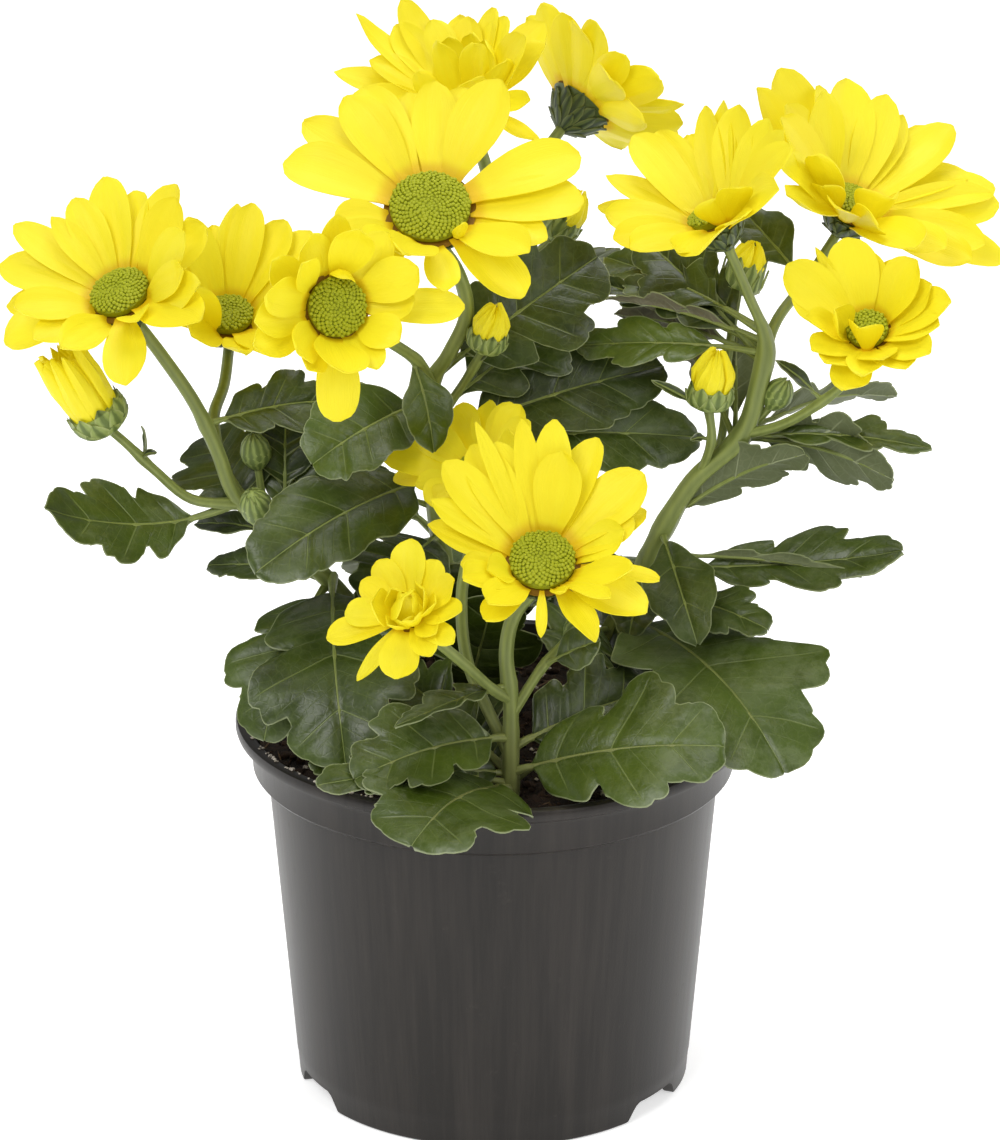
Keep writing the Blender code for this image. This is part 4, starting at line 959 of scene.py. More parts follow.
@dataclass(frozen=True)
class PotFinish:
    """Moulded black plastic: satin, with faint upright drag lines and handling marks."""

    name: str = "pot_plastic"
    base: Colour = (0.013, 0.0106, 0.0086)
    worn: Colour = (0.046, 0.038, 0.032)

    def material(self) -> Material:
        """Makes the material.

        Returns:
            The material.
        """
        tree = Tree(self.name)
        spot = tree.place(shift=(-pot_axis().x, -pot_axis().y, 0.0))
        x, y, z = tree.parts(spot)
        turn = y.maths("ARCTAN2", x)
        around = tree.vector(turn.maths("COSINE"), turn.maths("SINE"), z * 1.2)
        drag = tree.noise(around, 26.0, 4.0, 0.65)
        wide = tree.noise(around, 6.0, 2.0)
        grain = tree.noise(spot, 2600.0, 2.0)
        scuff = tree.noise(spot, 160.0, 5.0, 0.75).step(0.6, 0.78)
        shade = (drag - 0.36) * 0.9 + (wide - 0.5) * 0.8 + scuff * 0.35
        colour = tree.mix(shade, self.base, self.worn)
        rough = 0.36 + (wide - 0.5) * 0.1 + (drag - 0.5) * 0.14 + scuff * 0.14
        normal = tree.bump(grain * 0.5 + drag * 0.5, 0.00006, 0.7)
        return tree.finish(colour, rough, normal, 0.3)


@dataclass(frozen=True)
class PeatFinish:
    """Moist peat: near black to brown crumbs with paler fibres."""

    name: str = "peat"
    wet: Colour = (0.01, 0.006, 0.004)
    dry: Colour = (0.085, 0.045, 0.025)
    fibre: Colour = (0.22, 0.14, 0.08)

    def material(self) -> Material:
        """Makes the material.

        Returns:
            The material.
        """
        tree = Tree(self.name)
        spot, (tone,) = tree.place(), tree.attributes("tone")
        lumps, fine = tree.noise(spot, 260.0, 5.0, 0.7), tree.noise(spot, 1600.0, 3.0, 0.7)
        colour = tree.mix((lumps - 0.4) * 1.6 + tone * 0.5, self.wet, self.dry)
        colour = tree.mix(fine.step(0.62, 0.8) * 0.6 + tone.step(0.9, 1.0) * 0.6, colour,
                          self.fibre)
        normal = tree.bump(lumps * 0.6 + fine * 0.4, 0.0009)
        return tree.finish(colour, 0.82 + (fine - 0.5) * 0.2, normal, 0.3)


@dataclass(frozen=True)
class PerliteFinish:
    """Perlite: off-white mineral grains with dark pores."""

    name: str = "perlite"
    white: Colour = (0.62, 0.56, 0.47)
    pore: Colour = (0.22, 0.16, 0.11)

    def material(self) -> Material:
        """Makes the material.

        Returns:
            The material.
        """
        tree = Tree(self.name)
        pores = tree.cells(tree.place(), 1400.0).step(0.55, 0.15)
        stain = tree.noise(tree.place(), 300.0, 3.0)
        colour = tree.mix(pores * 0.5 + (stain - 0.45) * 1.2, self.white, self.pore)
        normal = tree.bump(pores, 0.0003)
        return tree.finish(colour, 0.9, normal)


@dataclass(frozen=True)
class FloorFinish:
    """Plain white studio paper, lit a little from below."""

    name: str = "studio_paper"
    colour: Colour = (0.9, 0.9, 0.9)

    def material(self) -> Material:
        """Makes the material."""
        return Tree(self.name).finish(self.colour, 0.85, None, 0.1, Emission_Strength=0.55,
                                      Emission_Color=(1.0, 1.0, 1.0, 1.0))


# Forms and batches


def select_only(thing: Thing) -> None:
    """Selects one object alone and makes it the active one.

    Args:
        thing: The object.
    """
    for other in bpy.context.selected_objects:
        other.select_set(False)
    thing.select_set(True)
    bpy.context.view_layer.objects.active = thing


def settle() -> Thing:
    """The newest object, once its place is brought into its mesh."""
    bpy.ops.object.transform_apply(location=True, rotation=True, scale=True)
    return bpy.context.object


def link(name: str, data: bpy.types.ID) -> Thing:
    """Puts new data into the scene.

    Args:
        name: The object's name.
        data: Its mesh, curve, light or camera.

    Returns:
        The object.
    """
    thing = bpy.data.objects.new(name, data)
    bpy.context.scene.collection.objects.link(thing)
    return thing


class Form:
    """A piece modelled once, whose points are moved to make each copy."""

    def __init__(self, thing: Thing) -> None:
        """Takes an object's mesh and removes the object.

        Args:
            thing: The modelled object, at the origin.
        """
        mesh = thing.data
        self.points = np.empty(len(mesh.vertices) * 3)
        mesh.vertices.foreach_get("co", self.points)
        self.points = self.points.reshape(-1, 3)
        self.corners = np.empty(len(mesh.loops), np.int32)
        mesh.loops.foreach_get("vertex_index", self.corners)
        self.sizes = np.empty(len(mesh.polygons), np.int32)
        mesh.polygons.foreach_get("loop_total", self.sizes)
        bpy.data.objects.remove(thing)
        bpy.data.meshes.remove(mesh)

    @property
    def spots(self) -> tuple[Array, Array, Array]:
        """A sheet's points: across from -1 to 1, along from 0 to 1, through from -0.5 to 0.5."""
        u, v, w = self.points.T
        return u, (v + 1) / 2, w

    @classmethod
    def sheet(cls, columns: int, rows: int) -> "Form":
        """A flat square from -1 to 1 with a thickness of 1.

        Args:
            columns: Faces from side to side.
            rows: Faces from end to end.

        Returns:
            The form.
        """
        bpy.ops.mesh.primitive_grid_add(x_subdivisions=columns, y_subdivisions=rows, size=2.0)
        thing = bpy.context.object
        skin = thing.modifiers.new("thickness", "SOLIDIFY")
        skin.thickness = 1.0
        skin.offset = 0.0
        bpy.ops.object.modifier_apply(modifier=skin.name)
        return cls(thing)

    @classmethod
    def turned(cls, profile: Points, sides: int) -> "Form":
        """A closed turned solid, extruded ring by ring from a circle.

        Args:
            profile: Radius and height of each ring, from the foot up along the outside.
            sides: Number of points in a ring.

        Returns:
            The form.
        """
        radius, height = profile[0]
        bpy.ops.mesh.primitive_circle_add(vertices=sides, radius=radius, fill_type="NGON",
                                          location=(0.0, 0.0, height))
        thing = settle()
        bpy.ops.object.mode_set(mode="EDIT")
        bpy.ops.mesh.select_all(action="SELECT")
        for (r0, z0), (r1, z1) in zip(profile, profile[1:]):
            bpy.ops.mesh.extrude_region_move(
                TRANSFORM_OT_translate={"value": (0.0, 0.0, z1 - z0)})
            bpy.ops.transform.resize(value=(r1 / r0, r1 / r0, 1.0),
                                     center_override=(0.0, 0.0, z1))
        bpy.ops.mesh.select_all(action="SELECT")
        bpy.ops.mesh.normals_make_consistent(inside=False)
        bpy.ops.object.mode_set(mode="OBJECT")
        return cls(thing)


def hand_over(thing: Thing, slot: Slot, nodes: Sequence[str] = (), smooth: float = 50.0) -> Thing:
    """Shades a finished piece, and says what it rides on and stands for.

    Args:
        thing: The piece, already in place.
        slot: The record's slot of its finish; not used.
        nodes: The solids that it stands for.
        smooth: Angle in degrees up to which faces are shaded smoothly.

    Returns:
        The piece.
    """
    select_only(thing)
    bpy.ops.object.shade_smooth_by_angle(angle=math.radians(smooth))
    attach(thing, BODY)
    if nodes:
        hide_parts(*nodes)
    return thing


@dataclass
class Batch:
    """Copies of forms gathered into one piece."""

    name: str
    count: int = 0
    copies: list[tuple] = field(default_factory=list)

    def add(self, form: Form, points: Array, **traits: Union[Array, float]) -> None:
        """Adds a copy of a form.

        Args:
            form: The form that is copied.
            points: Where its points go, in millimetres from the pot's axis.
            traits: Numbers that its points carry for the finish.
        """
        full = {k: np.broadcast_to(np.asarray(v, float), len(points)) for k, v in traits.items()}
        self.copies.append((points, form.corners + self.count, form.sizes, full))
        self.count += len(points)

    def shape(self, material: Material) -> Thing:
        """Makes the piece's object.

        Args:
            material: The piece's finish.

        Returns:
            The object, not yet handed to the frame.
        """
        points, corners, sizes, traits = zip(*self.copies)
        corners, sizes = np.concatenate(corners), np.concatenate(sizes)
        mesh = bpy.data.meshes.new(self.name)
        mesh.vertices.add(self.count)
        mesh.loops.add(len(corners))
        mesh.polygons.add(len(sizes))
        mesh.vertices.foreach_set("co", row(np.vstack(points)).ravel())
        mesh.loops.foreach_set("vertex_index", corners)
        mesh.polygons.foreach_set("loop_start", np.concatenate([[0], np.cumsum(sizes)[:-1]]))
        mesh.update(calc_edges=True)
        for key in traits[0]:
            layer = mesh.attributes.new(key, "FLOAT", "POINT")
            layer.data.foreach_set("value", np.concatenate([t[key] for t in traits]))
        mesh.materials.append(material)
        return link(self.name, mesh)

    def build(self, material: Material, slot: Slot, nodes: Sequence[str] = (),
              smooth: float = 50.0) -> Thing:
        """Makes the piece and hands it to the frame, as hand_over does."""
        return hand_over(self.shape(material), slot, nodes, smooth)


# Blooms


@dataclass
class Petals:
    """The petals of a bloom: troughed blades with grooves, rolled a little over each other."""

    bloom: Bloom
    form: Form
    finish: Material
    seed: int = 35
    root_gap: float = 0.25
    root_height: float = -2.0
    root_step: float = 0.75
    groove: float = 0.15
    thickness: float = 0.42

    STATIONS = (0.0, 0.12, 0.28, 0.45, 0.6, 0.74, 0.85, 0.92, 0.97, 1.0)
    ROUND = (0.4, 0.56, 0.78, 0.94, 1.0, 0.97, 0.84, 0.66, 0.43, 0.12)
    POINTED = (0.38, 0.54, 0.78, 0.95, 1.0, 0.88, 0.64, 0.43, 0.23, 0.05)

    def outline(self, v: Array, point: float) -> Array:
        """Share of the half width along a petal, which is round at point 0 and pointed at 1."""
        return (np.interp(v, self.STATIONS, self.ROUND) * (1 - point)
                + np.interp(v, self.STATIONS, self.POINTED) * point)

    def blade(self, petal: Petal, chance: random.Random) -> Array:
        """Points of one petal.

        Args:
            petal: Where it points, and its shape.
            chance: Source of small differences.

        Returns:
            The form's points, moved.
        """
        spindle, length = self.bloom.spindle, petal.length
        u, v, w = self.form.spots
        tip_curl = chance.uniform(-0.07, 0.05)
        sway = chance.uniform(-0.05, 0.05)
        roll = math.radians(petal.roll + chance.uniform(-4.0, 4.0))
        twist = math.radians(chance.uniform(-10.0, 10.0))
        phase = chance.uniform(0.0, 6.0)
        ripple = chance.uniform(0.2, 0.7) * min(1.0, length / 16.0)
        point = min(max(petal.point + chance.uniform(-0.1, 0.1), 0.0), 1.0)
        trough = petal.trough * chance.uniform(0.6, 1.4)
        half = petal.width / 2 * chance.uniform(0.97, 1.05) * self.outline(v, point)

        # Its midline bends up evenly in the plane of the axis and its own direction
        out = spindle.across(math.radians(petal.azimuth))
        side = np.cross(out, spindle.axis)
        start, bend = math.radians(petal.rise), math.radians(petal.curl or 0.1)
        angle = start + bend * np.where(v < 1e-6, -0.03, v)
        run = length / bend * (np.sin(angle) - math.sin(start))
        climb = length / bend * (math.cos(start) - np.cos(angle))
        root = self.bloom.disc + self.root_gap + run
        height = self.root_height + self.root_step * petal.level + climb
        normal = np.outer(np.cos(angle), spindle.axis) - np.outer(np.sin(angle), out)
        tilt = roll + twist * v
        across = side * np.cos(tilt)[:, None] + normal * np.sin(tilt)[:, None]
        normal = normal * np.cos(tilt)[:, None] - side * np.sin(tilt)[:, None]

        # The blade is hollow across, with three grooves, a wavy rim and a bent tip
        grooves = self.groove * np.sin(math.pi * np.clip(v, 0.03, 0.97)) ** 0.6 * (
            0.5 - 0.5 * np.cos(3 * math.pi * u))
        waves = ripple * np.abs(u) ** 3 * np.sin(phase + 7.0 * v + 2.0 * np.sign(u)) * v
        thick = self.thickness * (1.5 - v * 0.8) * (1 - 0.45 * u ** 4)
        lift = (2 * trough * half * u ** 2 - grooves + waves
                - tip_curl * length * ease(0.62, 1.0, v) ** 2 + w * thick)
        drift = sway * length * v ** 2 + u * half
        return (spindle.origin + np.outer(root, out) + np.outer(height, spindle.axis)
                + across * drift[:, None] + normal * lift[:, None])

    def build(self) -> list[Thing]:
        """Makes the bloom's petals as one piece.

        Returns:
            The piece.
        """
        bloom = self.bloom
        chance = random.Random(self.seed + len(bloom.name) * 13 + int(bloom.place[2]))
        batch = Batch("petals_" + bloom.name)
        u, v, _ = self.form.spots
        for numbers in bloom.petals:
            points = self.blade(Petal(*numbers), chance)
            batch.add(self.form, points, across=u, along=v, tone=chance.random())
        return [batch.build(self.finish, Slot.PETAL, ["rays_" + bloom.name])]


@dataclass
class Florets:
    """The disc of a bloom: small tube florets in a spiral on a low dome."""

    bloom: Bloom
    floret: Form
    dome: Form
    finish: Material
    pitch: float = 0.9
    packing: float = 3.45
    crown: float = 0.25
    fall: float = 2.4
    dimple: float = 0.07
    scale: float = 0.95
    rim: float = 0.35
    sink: float = 0.45
    plate: float = 0.9

    GOLDEN_ANGLE = math.pi * (3 - math.sqrt(5))

    def height(self, out: Array) -> Array:
        """Height of the dome's skin above the petals' roots, at distances from its middle."""
        share = np.clip(out / (self.bloom.disc * self.scale), 0.0, 1.0)
        return 0.3 + self.bloom.disc * (self.crown * (1 - share ** self.fall)
                                        - self.dimple * np.exp(-((share / 0.3) ** 2)))

    def ground(self, batch: Batch) -> None:
        """Adds the dome under the florets and the plate round its foot, painted brown as the shade
        between the petals' roots.

        Args:
            batch: The piece that they join.
        """
        x, y, z = self.dome.points.T
        size, wide = self.bloom.disc * self.scale, self.bloom.disc + self.plate
        skin = np.where(z > 0, self.height(np.hypot(x, y) * size) - 0.12, z * 2.3)
        place = self.bloom.spindle.place
        batch.add(self.dome, place(x * size, y * size, skin), along=0.05, tone=0.0, out=0.0)
        # The plate's tone of -1 gives it the painted shade colour.
        batch.add(self.dome, place(x * wide, y * wide, z * 0.6 - 1.6), along=0.05, tone=-1.0,
                  out=0.0)

    def stand(self, angle: float, share: float, width: float, tall: float) -> Array:
        """Points of one floret on the dome.

        Args:
            angle: Its turn round the disc.
            share: Its distance from the middle, 1 at the rim.
            width: Its radius.
            tall: Its height.

        Returns:
            The form's points, moved.
        """
        slope = self.crown * self.fall * share ** (self.fall - 1) * 0.9
        lean = unit(np.array([slope, 0.0, 1.0]))
        outward = np.array([math.cos(angle), math.sin(angle), 0.0])
        along = outward * lean[0] + np.array([0.0, 0.0, lean[2]])
        sideways = np.array([-math.sin(angle), math.cos(angle), 0.0])
        radius = share * (self.bloom.disc * self.scale - self.rim)
        foot = outward * radius + np.array([0.0, 0.0, self.height(radius) - self.sink])
        x, y, z = self.floret.points.T
        spot = (foot + np.outer(x * width, np.cross(sideways, along))
                + np.outer(y * width, sideways) + np.outer(z * tall, along))
        return self.bloom.spindle.place(*spot.T)

    def build(self) -> list[Thing]:
        """Makes the disc as one piece.

        Returns:
            The piece.
        """
        bloom = self.bloom
        chance = random.Random(len(bloom.name) * 17 + int(bloom.place[2]))
        batch = Batch("florets_" + bloom.name)
        self.ground(batch)
        total = int((bloom.disc * self.scale / self.pitch) ** 2 * self.packing)
        for i in range(total):
            share = math.sqrt((i + 0.5) / total)
            angle = i * self.GOLDEN_ANGLE + chance.uniform(-0.12, 0.12) * (1 - share)
            width = self.pitch * (0.56 + 0.07 * share) * chance.uniform(0.88, 1.1)
            tall = (0.55 + 0.26 * share) * chance.uniform(0.9, 1.1)
            batch.add(self.floret, self.stand(angle, share, width, tall),
                      along=self.floret.points[:, 2], tone=chance.random(), out=share)
        return [batch.build(self.finish, Slot.DISC, ["disc_" + bloom.name], 35.0)]


def floret_form() -> Form:
    """One closed floret: a round-headed knob; 1 in radius and 1 tall."""
    return Form.turned(((0.72, 0.0), (0.95, 0.42), (0.98, 0.68), (0.74, 0.9), (0.3, 1.0)), 6)


def dome_form() -> Form:
    """The floor under the florets, 1 across, with a foot that reaches down to the cup."""
    return Form.turned(((0.86, -1.0), (1.0, -0.4), (1.0, 0.01), (0.94, 0.02), (0.8, 0.03),
                        (0.6, 0.04), (0.4, 0.05), (0.2, 0.06), (0.03, 0.07)), 32)


# Cups and buds


class Ring(NamedTuple):
    """A ring of scales on a cup.

    The first stands at the start, in degrees. A scale runs from low to high, as shares of the
    skin. Its half width is a share of its pitch, and its tip stands off the skin by the lift.
    """

    count: int
    start: float
    low: float
    high: float
    width: float
    lift: float


CUP_RINGS = (Ring(11, 0, 0.12, 1.0, 1.25, 0.25), Ring(11, 16, 0.1, 0.8, 1.05, 0.7),
             Ring(8, 5, 0.06, 0.52, 0.9, 0.9))
OPEN_RINGS = (Ring(8, 0, 0.1, 1.3, 1.3, 0.25), Ring(8, 22, 0.06, 1.0, 1.1, 0.5),
              Ring(6, 9, 0.02, 0.66, 1.0, 0.4))
CLOSED_RINGS = (Ring(6, 0, 0.04, 0.86, 1.25, 0.1), Ring(6, 30, 0.1, 1.0, 1.2, 0.2))


class Cup(NamedTuple):
    """What stands at the end of a shoot: its skin, its scales and where the shoot ends.

    The skin's knots are radius and height from the spindle's origin, from the foot up.
    """

    spindle: Spindle
    knots: Points
    rings: tuple[Ring, ...]
    entry: float

    @property
    def end(self) -> Array:
        """The shoot's last place."""
        return self.spindle.origin + self.spindle.axis * self.entry


@dataclass
class Scales:
    """Overlapping green scales on the skin of a cup or bud."""

    form: Form
    core: Form
    thickness: float = 0.32
    reach: float = 0.02

    def skin(self, batch: Batch, cup: Cup) -> None:
        """Adds the smooth body under the scales.

        Args:
            batch: The piece that it joins.
            cup: The cup or bud.
        """
        x, y, z = self.core.points.T
        level = smooth_curve(cup.knots, (z + 1) / 2)
        ring = unit(np.column_stack([x, y]) + 1e-12)
        wide = np.where(np.hypot(x, y) < 0.5, 0.15, 1.0) * level[:, 0]
        points = cup.spindle.place(ring[:, 0] * wide, ring[:, 1] * wide, level[:, 1])
        batch.add(self.core, points, across=0.45, along=0.3)

    def ring(self, batch: Batch, cup: Cup, ring: Ring, chance: random.Random) -> None:
        """Adds a ring of scales.

        Args:
            batch: The piece that it joins.
            cup: The cup or bud.
            ring: The ring.
            chance: Source of small differences.
        """
        u, v, w = self.form.spots
        knots, pitch = cup.knots, 2 * math.pi / ring.count
        shape = np.interp(v, (0.0, 0.25, 0.55, 0.8, 1.0), (0.75, 1.0, 0.9, 0.55, 0.06))
        for i in range(ring.count):
            share = ring.low + (ring.high * chance.uniform(0.9, 1.04) - ring.low) * v
            level = smooth_curve(knots, np.clip(share, 0.0, 1.0))
            level[:, 1] += np.maximum(share - 1.0, 0.0) * (knots[-1][1] - knots[0][1])
            slope = unit(smooth_curve(knots, np.clip(share + self.reach, 0.0, 1.0))
                         - smooth_curve(knots, np.clip(share - self.reach, 0.0, 1.0)))
            angle = math.radians(ring.start) + pitch * (i + u * shape * ring.width / 2)
            off = 0.12 + ring.lift * v ** 2 + w * self.thickness + 0.14 * (1 - u ** 2)
            radius = level[:, 0] + slope[:, 1] * off
            points = cup.spindle.about(angle, radius, level[:, 1] - slope[:, 0] * off)
            batch.add(self.form, points, across=u, along=v)


def core_form() -> Form:
    """The smooth body under the scales: a tube of even rings, closed at both ends."""
    rings = [(1.0, -1.0 + i / 8) for i in range(17)]
    return Form.turned([(0.4, -1.0), *rings, (0.4, 1.0)], 28)


@dataclass
class BudPetals:
    """The folded petals of an opening bud, layer within layer."""

    bud: Bud
    form: Form
    finish: Material
    layers: tuple[int, ...] = (10, 9, 7, 4)
    layer_turn: float = 21.0
    foot: float = 0.2
    thickness: float = 0.34

    def petal(self, layer: int, place: float, chance: random.Random) -> Array:
        """Points of one petal.

        Args:
            layer: Its layer, 0 outside.
            place: Its share of the way round.
            chance: Source of small differences.

        Returns:
            The form's points, moved.
        """
        bud, count = self.bud, self.layers[layer]
        u, v, w = self.form.spots
        reach = bud.length * (1.0 - 0.035 * layer) * chance.uniform(0.87, 1.0)
        height = bud.length * self.foot * (1 - v) + reach * v
        ends = (0.84, 0.92, 0.98, 0.5 + 0.45 * bud.spread, bud.spread)
        girth = np.interp(height / bud.length, (0.26, 0.42, 0.6, 0.84, 1.0), ends)
        girth = girth * (1 - 0.17 * layer) - 0.02 * layer
        radius = bud.radius * girth + chance.uniform(-0.3, 0.5) * ease(0.7, 1.0, v)
        shape = np.interp(v, (0.0, 0.4, 0.75, 0.93, 1.0), (0.8, 1.0, 0.9, 0.5, 0.12))
        half = np.minimum(1.1 * math.pi / count * shape, 1.1)
        turn = math.radians(layer * self.layer_turn + chance.uniform(-8, 8))
        turn += 2 * math.pi * place
        angle = turn + u * half + (0.5 * (1 - bud.spread) + chance.uniform(-0.2, 0.2)) * v
        pinch = 0.16 * np.abs(u) ** 1.6 * bud.radius * ease(0.1, 0.8, v)
        crease = 0.1 * np.cos(3 * math.pi * u) * ease(0.0, 0.3, v)
        radius = np.maximum(radius - pinch + crease, 0.12) + w * self.thickness
        return bud.spindle.about(angle, radius, height)

    def build(self) -> list[Thing]:
        """Makes the bud's petals as one piece.

        Returns:
            The piece.
        """
        bud = self.bud
        u, v, _ = self.form.spots
        chance = random.Random(int(bud.radius * 100) + len(bud.name))
        batch = Batch("bud_petals_" + bud.name)
        for layer, count in enumerate(self.layers):
            for i in range(count):
                points = self.petal(layer, i / count, chance)
                # Inner layers take a higher tone and so a deeper yellow: painted shade inside the
                # bud.
                batch.add(self.form, points, across=u, along=0.25 + 0.75 * v,
                          tone=0.2 + 0.3 * layer + 0.4 * chance.random())
        return [batch.build(self.finish, Slot.PETAL, ["bud_" + bud.name])]


# Stems and leaves


@dataclass
class Outline:
    """Half outline of a blade: (along, across, share of the midrib it is joined to).

    Lobes are the knots at the tips that side veins run to, and sinuses the knots of the bays
    between them. Each stretch between bays has its own number of teeth.
    """

    knots: Points
    lobes: tuple[int, ...]
    sinuses: tuple[int, ...]
    teeth: tuple[int, ...]
    bite: float
    rows_per_span: int = 3

    @property
    def spans(self) -> int:
        """Number of stretches between knots."""
        return len(self.knots) - 1

    def phase(self, v: Array) -> Array:
        """A number that is whole along each side vein."""
        at = [0.0] + [k / self.spans for k in self.lobes]
        return np.interp(v, at, range(len(at)))

    def tooth(self, v: Array) -> Array:
        """Share by which teeth lengthen or shorten the way to the rim.

        Args:
            v: Shares along the sheet.

        Returns:
            The share at each.
        """
        at = [0.0] + [k / self.spans for k in self.sinuses] + [1.0]
        count = np.interp(v, at, np.cumsum([0, *self.teeth]))
        bump = np.sin(math.pi * (count % 1.0) ** 1.15) ** 0.7
        return self.bite * (bump - 0.5) * ease(0.04, 0.16, v) * ease(1.0, 0.94, v)


OUTLINES = {
    BROAD: Outline((
        (-0.01, 0.04, 0.0), (0.03, 0.16, 0.01), (0.08, 0.4, 0.035), (0.15, 0.64, 0.07),
        (0.235, 0.8, 0.115), (0.31, 0.8, 0.155), (0.345, 0.7, 0.195), (0.36, 0.6, 0.225),
        (0.39, 0.63, 0.26), (0.42, 0.79, 0.295), (0.5, 0.98, 0.345), (0.61, 1.05, 0.395),
        (0.69, 0.97, 0.445), (0.715, 0.82, 0.49), (0.715, 0.66, 0.53), (0.75, 0.62, 0.58),
        (0.8, 0.66, 0.635), (0.88, 0.62, 0.71), (0.95, 0.45, 0.8), (0.99, 0.22, 0.9),
        (1.0, 0.03, 0.99)), (4, 11, 17, 20), (7, 14), (2, 3, 3), 0.075),
    SMOOTH: Outline((
        (-0.01, 0.05, 0.0), (0.03, 0.2, 0.01), (0.08, 0.46, 0.035), (0.15, 0.68, 0.07),
        (0.235, 0.84, 0.115), (0.3, 0.88, 0.155), (0.36, 0.84, 0.2), (0.4, 0.81, 0.235),
        (0.45, 0.88, 0.28), (0.53, 0.97, 0.345), (0.61, 1.0, 0.41), (0.68, 0.94, 0.47),
        (0.72, 0.84, 0.52), (0.76, 0.78, 0.57), (0.82, 0.75, 0.65), (0.88, 0.64, 0.73),
        (0.95, 0.47, 0.82), (0.99, 0.24, 0.91), (1.0, 0.03, 0.99)),
        (4, 10, 14, 18), (7, 13), (2, 3, 3), 0.05),
    NARROW: Outline((
        (-0.01, 0.05, 0.0), (0.05, 0.12, 0.02), (0.12, 0.26, 0.05), (0.19, 0.6, 0.09),
        (0.27, 0.84, 0.135), (0.335, 0.8, 0.18), (0.37, 0.6, 0.225), (0.4, 0.45, 0.265),
        (0.455, 0.56, 0.31), (0.53, 0.9, 0.37), (0.61, 1.04, 0.43), (0.675, 0.93, 0.49),
        (0.7, 0.68, 0.54), (0.73, 0.53, 0.585), (0.79, 0.58, 0.645), (0.86, 0.55, 0.72),
        (0.92, 0.4, 0.8), (0.97, 0.2, 0.89), (1.0, 0.04, 0.99)),
        (4, 10, 15, 18), (7, 13), (2, 3, 3), 0.12),
    TINY: Outline((
        (-0.02, 0.08, 0.0), (0.06, 0.22, 0.03), (0.18, 0.5, 0.08), (0.32, 0.85, 0.16),
        (0.46, 1.0, 0.26), (0.6, 0.92, 0.38), (0.7, 0.74, 0.5), (0.8, 0.62, 0.62),
        (0.9, 0.4, 0.76), (1.0, 0.06, 0.98)), (4, 7, 9), (), (4,), 0.1),
}


class Midline:
    """The curved line from a leaf's joint to its tip, with the directions along it."""

    def __init__(self, leaf: Leaf) -> None:
        """Works out the line.

        Args:
            leaf: The leaf that it belongs to.
        """
        self.joint, self.tip = np.array(leaf.joint, float), np.array(leaf.tip, float)
        self.face = facing(leaf.turn, leaf.lift)
        self.middle = (self.joint + self.tip) / 2 + self.face * (2 * leaf.arch)

    def at(self, share: Array) -> tuple[Array, Array, Array, Array]:
        """The line at some shares of its way.

        Args:
            share: The shares, 0 at the joint.

        Returns:
            Places, and the forward, side and upper directions there.
        """
        s = np.asarray(share, float)[:, None]
        place = self.joint * (1 - s) ** 2 + self.middle * (2 * s * (1 - s)) + self.tip * s ** 2
        forward = unit((self.middle - self.joint) * (1 - s) + (self.tip - self.middle) * s)
        normal = unit(self.face - forward * (forward @ self.face)[:, None])
        return place, forward, np.cross(forward, normal), normal


